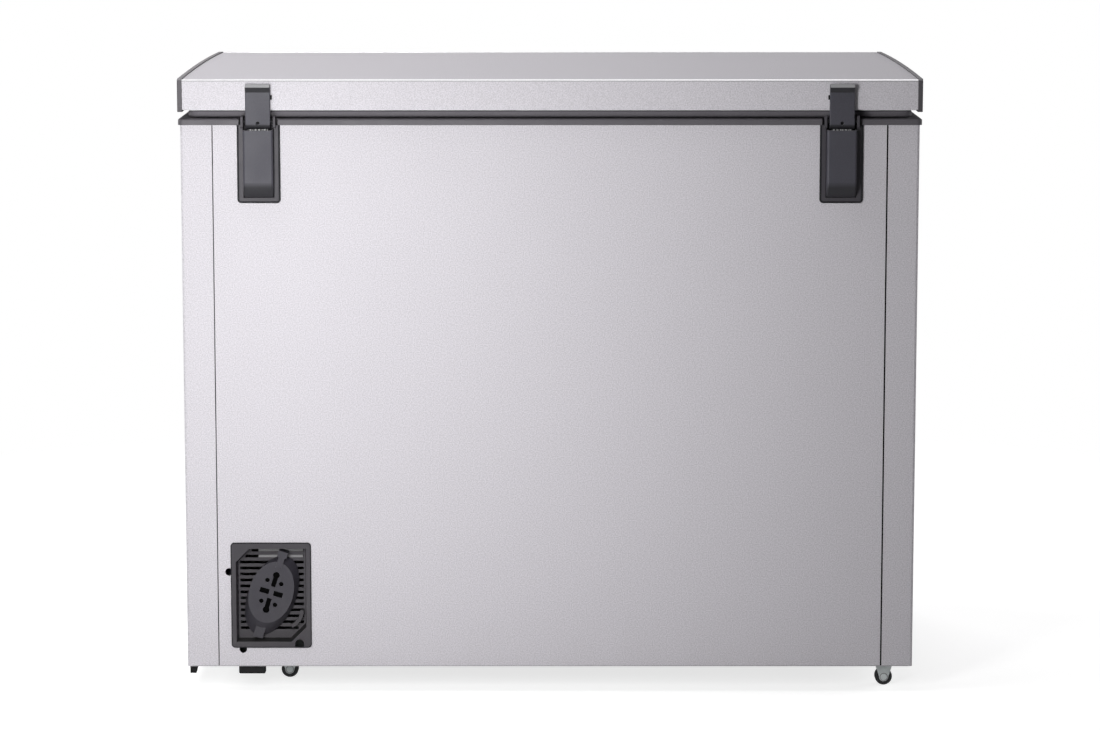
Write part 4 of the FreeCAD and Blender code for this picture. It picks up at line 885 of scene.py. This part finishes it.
def makeDial(look):  # temperature marks along the knob's travel, and the pointer that starts at the first
    low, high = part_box("control_knob")
    centreX = (low[0] + high[0]) / 2
    centreZ = (low[2] + high[2]) / 2
    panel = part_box("control_panel")[0][1]
    reach = look["inner"] + look["length"]
    points = []
    faces = []
    for mark in range(look["marks"]):
        angle = math.radians(look["sweep"] * mark / (look["marks"] - 1))
        half = (look["width"] + mark * look["growth"]) / 2
        corners, sides = block(-half, half, panel - look["thick"], panel, look["inner"], reach)
        start = len(points)
        for x, y, z in corners:
            turnedX = x * math.cos(angle) + z * math.sin(angle)
            turnedZ = z * math.cos(angle) - x * math.sin(angle)
            points.append((centreX + turnedX, y, centreZ + turnedZ))
        for side in sides:
            faces.append(tuple(start + corner for corner in side))
    addPiece("dialMarks", points, faces, whitePrint, "cabinet", "liner_plastic")
    half = look["pointerHalf"]
    tip = high[2] - look["pointerDown"]
    tail = tip - look["pointerLength"]
    arrow = [(-half, tail), (half, tail), (half, tip - half), (0.0, tip), (-half, tip - half)]
    points = [(centreX + x, y, z) for y in (low[1] - look["thick"], low[1]) for x, z in arrow]
    addPiece("knobPointer", points, prismFaces(len(arrow)), whitePrint, "knob", "liner_plastic")


bracketSet = {
    "fromRight": 0.0126,
    "toLeft": 0.0744,
    "down": 0.0117,
    "tall": 0.014,
    "thick": 0.001,
    "flange": 0.007,
}


def makeBayBracket(look):  # folded channel behind the upper slots of the vent
    low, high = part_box("vent_cover")
    top = high[2] - look["down"]
    bottom = top - look["tall"]
    web = low[1]
    back = web - look["flange"]
    wall = look["thick"]
    section = [
        (web, bottom),
        (web, top),
        (back, top),
        (back, top - wall),
        (web - wall, top - wall),
        (web - wall, bottom + wall),
        (back, bottom + wall),
        (back, bottom),
    ]
    ends = (low[0] + look["fromRight"], low[0] + look["toLeft"])
    points = [(x, y, z) for x in ends for y, z in section]
    addPiece("bayBracket", points, prismFaces(len(section)), baySheet, "cabinet", "zinc_steel")


winderShadeSet = {"tilt": 17.0, "halfLong": 0.034, "halfShort": 0.02, "up": 0.0038, "under": 0.003, "thick": 0.0008}


def makeWinderShade(look):  # painted shade: a black sheet behind the keyholes and windows of the cord winder, so they read dark inside
    low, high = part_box("vent_cover")
    middleX = (low[0] + high[0]) / 2
    middleZ = (low[2] + high[2]) / 2 + look["up"]
    lean = math.radians(look["tilt"])
    short = look["halfShort"]
    long = look["halfLong"]
    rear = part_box("cord_winder")[1][1] - look["under"]
    corners, faces = block(-short, short, rear - look["thick"], rear, -long, long)
    points = []
    for x, y, z in corners:
        turnedX = x * math.cos(lean) - z * math.sin(lean)
        turnedZ = z * math.cos(lean) + x * math.sin(lean)
        points.append((middleX + turnedX, y, middleZ + turnedZ))
    addPiece("winderShadeSheet", points, faces, blackShadeSheet, "cabinet", "black_rubber")


makeGasket(gasketSet)
for hand in ("left", "right"):
    makeOutlineShade(f"hingeOutlineShade{hand.title()}", f"hinge_base_{hand}", outlineShadeSet["hinge"], outlineShadeSet, True)
makeOutlineShade("ventOutlineShade", "vent_cover", outlineShadeSet["vent"], outlineShadeSet, False)
makeHem("rearHem", 1, hemSet)
makeHem("frontHem", -1, hemSet)
makeBottomShade(bottomShadeSet)
makeSeamLine(seamSet)
makeRivetRings(rivetSet)
makeDial(dialSet)
makeBayBracket(bracketSet)
makeWinderShade(winderShadeSet)
print("added pieces in place")


# floor, backdrop and light

floorSet = {
    "half": 14.0,
    "albedo": 0.5,
    "rough": 0.9,
    "glow": 0.74,  # added only where it is seen, so the object gets no light from it
    "back": 1.0,
    "fadeStart": 0.75,
    "fadeEnd": 1.9,
}


def makeFloor(look):
    half = look["half"]
    mesh = bpy.data.meshes.new("studioFloor")
    corners = [(-half, -half, 0), (half, -half, 0), (half, half, 0), (-half, half, 0)]
    mesh.from_pydata(corners, [], [(0, 1, 2, 3)])
    floor = bpy.data.objects.new("studioFloor", mesh)
    scene.collection.objects.link(floor)
    material = bpy.data.materials.new("paleFloor")
    material.use_nodes = True
    tree = material.node_tree
    shader = tree.nodes["Principled BSDF"]
    shader.inputs["Roughness"].default_value = look["rough"]
    shader.inputs["Specular IOR Level"].default_value = 0.0
    shader.inputs["Base Color"].default_value = colour(look["albedo"], look["albedo"], look["albedo"])
    sink = tree.nodes["Material Output"].inputs["Surface"]
    glow = newNode(tree, "ShaderNodeEmission", {"Strength": look["glow"]}).outputs[0]
    white = newNode(tree, "ShaderNodeEmission", {"Strength": look["back"]}).outputs[0]
    lit = newNode(tree, "ShaderNodeAddShader")
    feed(tree, lit.inputs[0], shader.outputs[0])
    feed(tree, lit.inputs[1], glow)
    coords = newNode(tree, "ShaderNodeTexCoord").outputs["Object"]
    away = newNode(tree, "ShaderNodeVectorMath", {"Vector": coords}, operation="LENGTH").outputs["Value"]
    fade = spread(tree, away, look["fadeStart"], look["fadeEnd"], 0.0, 1.0)
    seen = newNode(tree, "ShaderNodeMixShader")
    feed(tree, seen.inputs[0], fade)
    feed(tree, seen.inputs[1], lit.outputs[0])
    feed(tree, seen.inputs[2], white)
    path = newNode(tree, "ShaderNodeLightPath").outputs
    direct = calc(tree, "MAXIMUM", path["Is Camera Ray"], path["Is Transmission Ray"])
    choose = newNode(tree, "ShaderNodeMixShader")
    feed(tree, choose.inputs[0], direct)
    feed(tree, choose.inputs[1], shader.outputs[0])
    feed(tree, choose.inputs[2], seen.outputs[0])
    feed(tree, sink, choose.outputs[0])
    mesh.materials.append(material)


worldSet = {"fill": 0.05, "mirror": 0.35, "back": 1.0}


def makeWorld(look):
    world = bpy.data.worlds.new("studioAir")
    scene.world = world
    world.use_nodes = True
    tree = world.node_tree
    background = tree.nodes["Background"]
    background.inputs["Color"].default_value = colour(1, 1, 1)
    path = newNode(tree, "ShaderNodeLightPath").outputs
    direct = calc(tree, "MAXIMUM", path["Is Camera Ray"], path["Is Transmission Ray"])
    around = spread(tree, path["Is Glossy Ray"], 0.0, 1.0, look["fill"], look["mirror"])
    feed(tree, background.inputs["Strength"], spread(tree, direct, 0.0, 1.0, around, look["back"]))


lampSet = {
    "keyBox": {"place": (0.47, 1.5, 0.72), "aim": (0.47, 0.3, 0.72), "size": (0.45, 0.9), "power": 16.6},
    "topBox": {
        "place": (0.85, 0.35, 2.45),
        "aim": (0.5, 0.0, 0.85),
        "size": (0.9, 0.9),
        "power": 19.5,
        "mirrored": False,
    },
    "stripBox": {"place": (0.0, 0.42, 2.5), "aim": (0.0, 0.31, 0.855), "size": (1.9, 0.4), "power": 3.7},
    "frontBox": {
        "place": (0.6, -3.3, 1.5),
        "aim": (0.0, -0.3, 0.45),
        "size": (1.8, 1.8),
        "power": 60.0,
        "mirrored": False,
    },
    "leftBox": {"place": (3.4, -1.2, 1.5), "aim": (0.5, 0.0, 0.4), "size": (1.6, 1.6), "power": 54.0},
    "rightBox": {"place": (-3.4, -1.0, 1.5), "aim": (-0.5, 0.0, 0.4), "size": (1.6, 1.6), "power": 48.0},
}


def makeLamp(name, look):
    data = bpy.data.lights.new(name, "AREA")
    data.shape = "RECTANGLE"
    data.size, data.size_y = look["size"]
    data.energy = look["power"]
    lamp = bpy.data.objects.new(name, data)
    lamp.location = look["place"]
    reach = Vector(look["aim"]) - Vector(look["place"])
    lamp.rotation_euler = reach.to_track_quat("-Z", "Y").to_euler()
    lamp.visible_camera = False
    lamp.visible_glossy = look.get("mirrored", True)
    scene.collection.objects.link(lamp)


makeFloor(floorSet)
makeWorld(worldSet)
for lampName, lampValues in lampSet.items():
    makeLamp(lampName, lampValues)
print("stage lit")
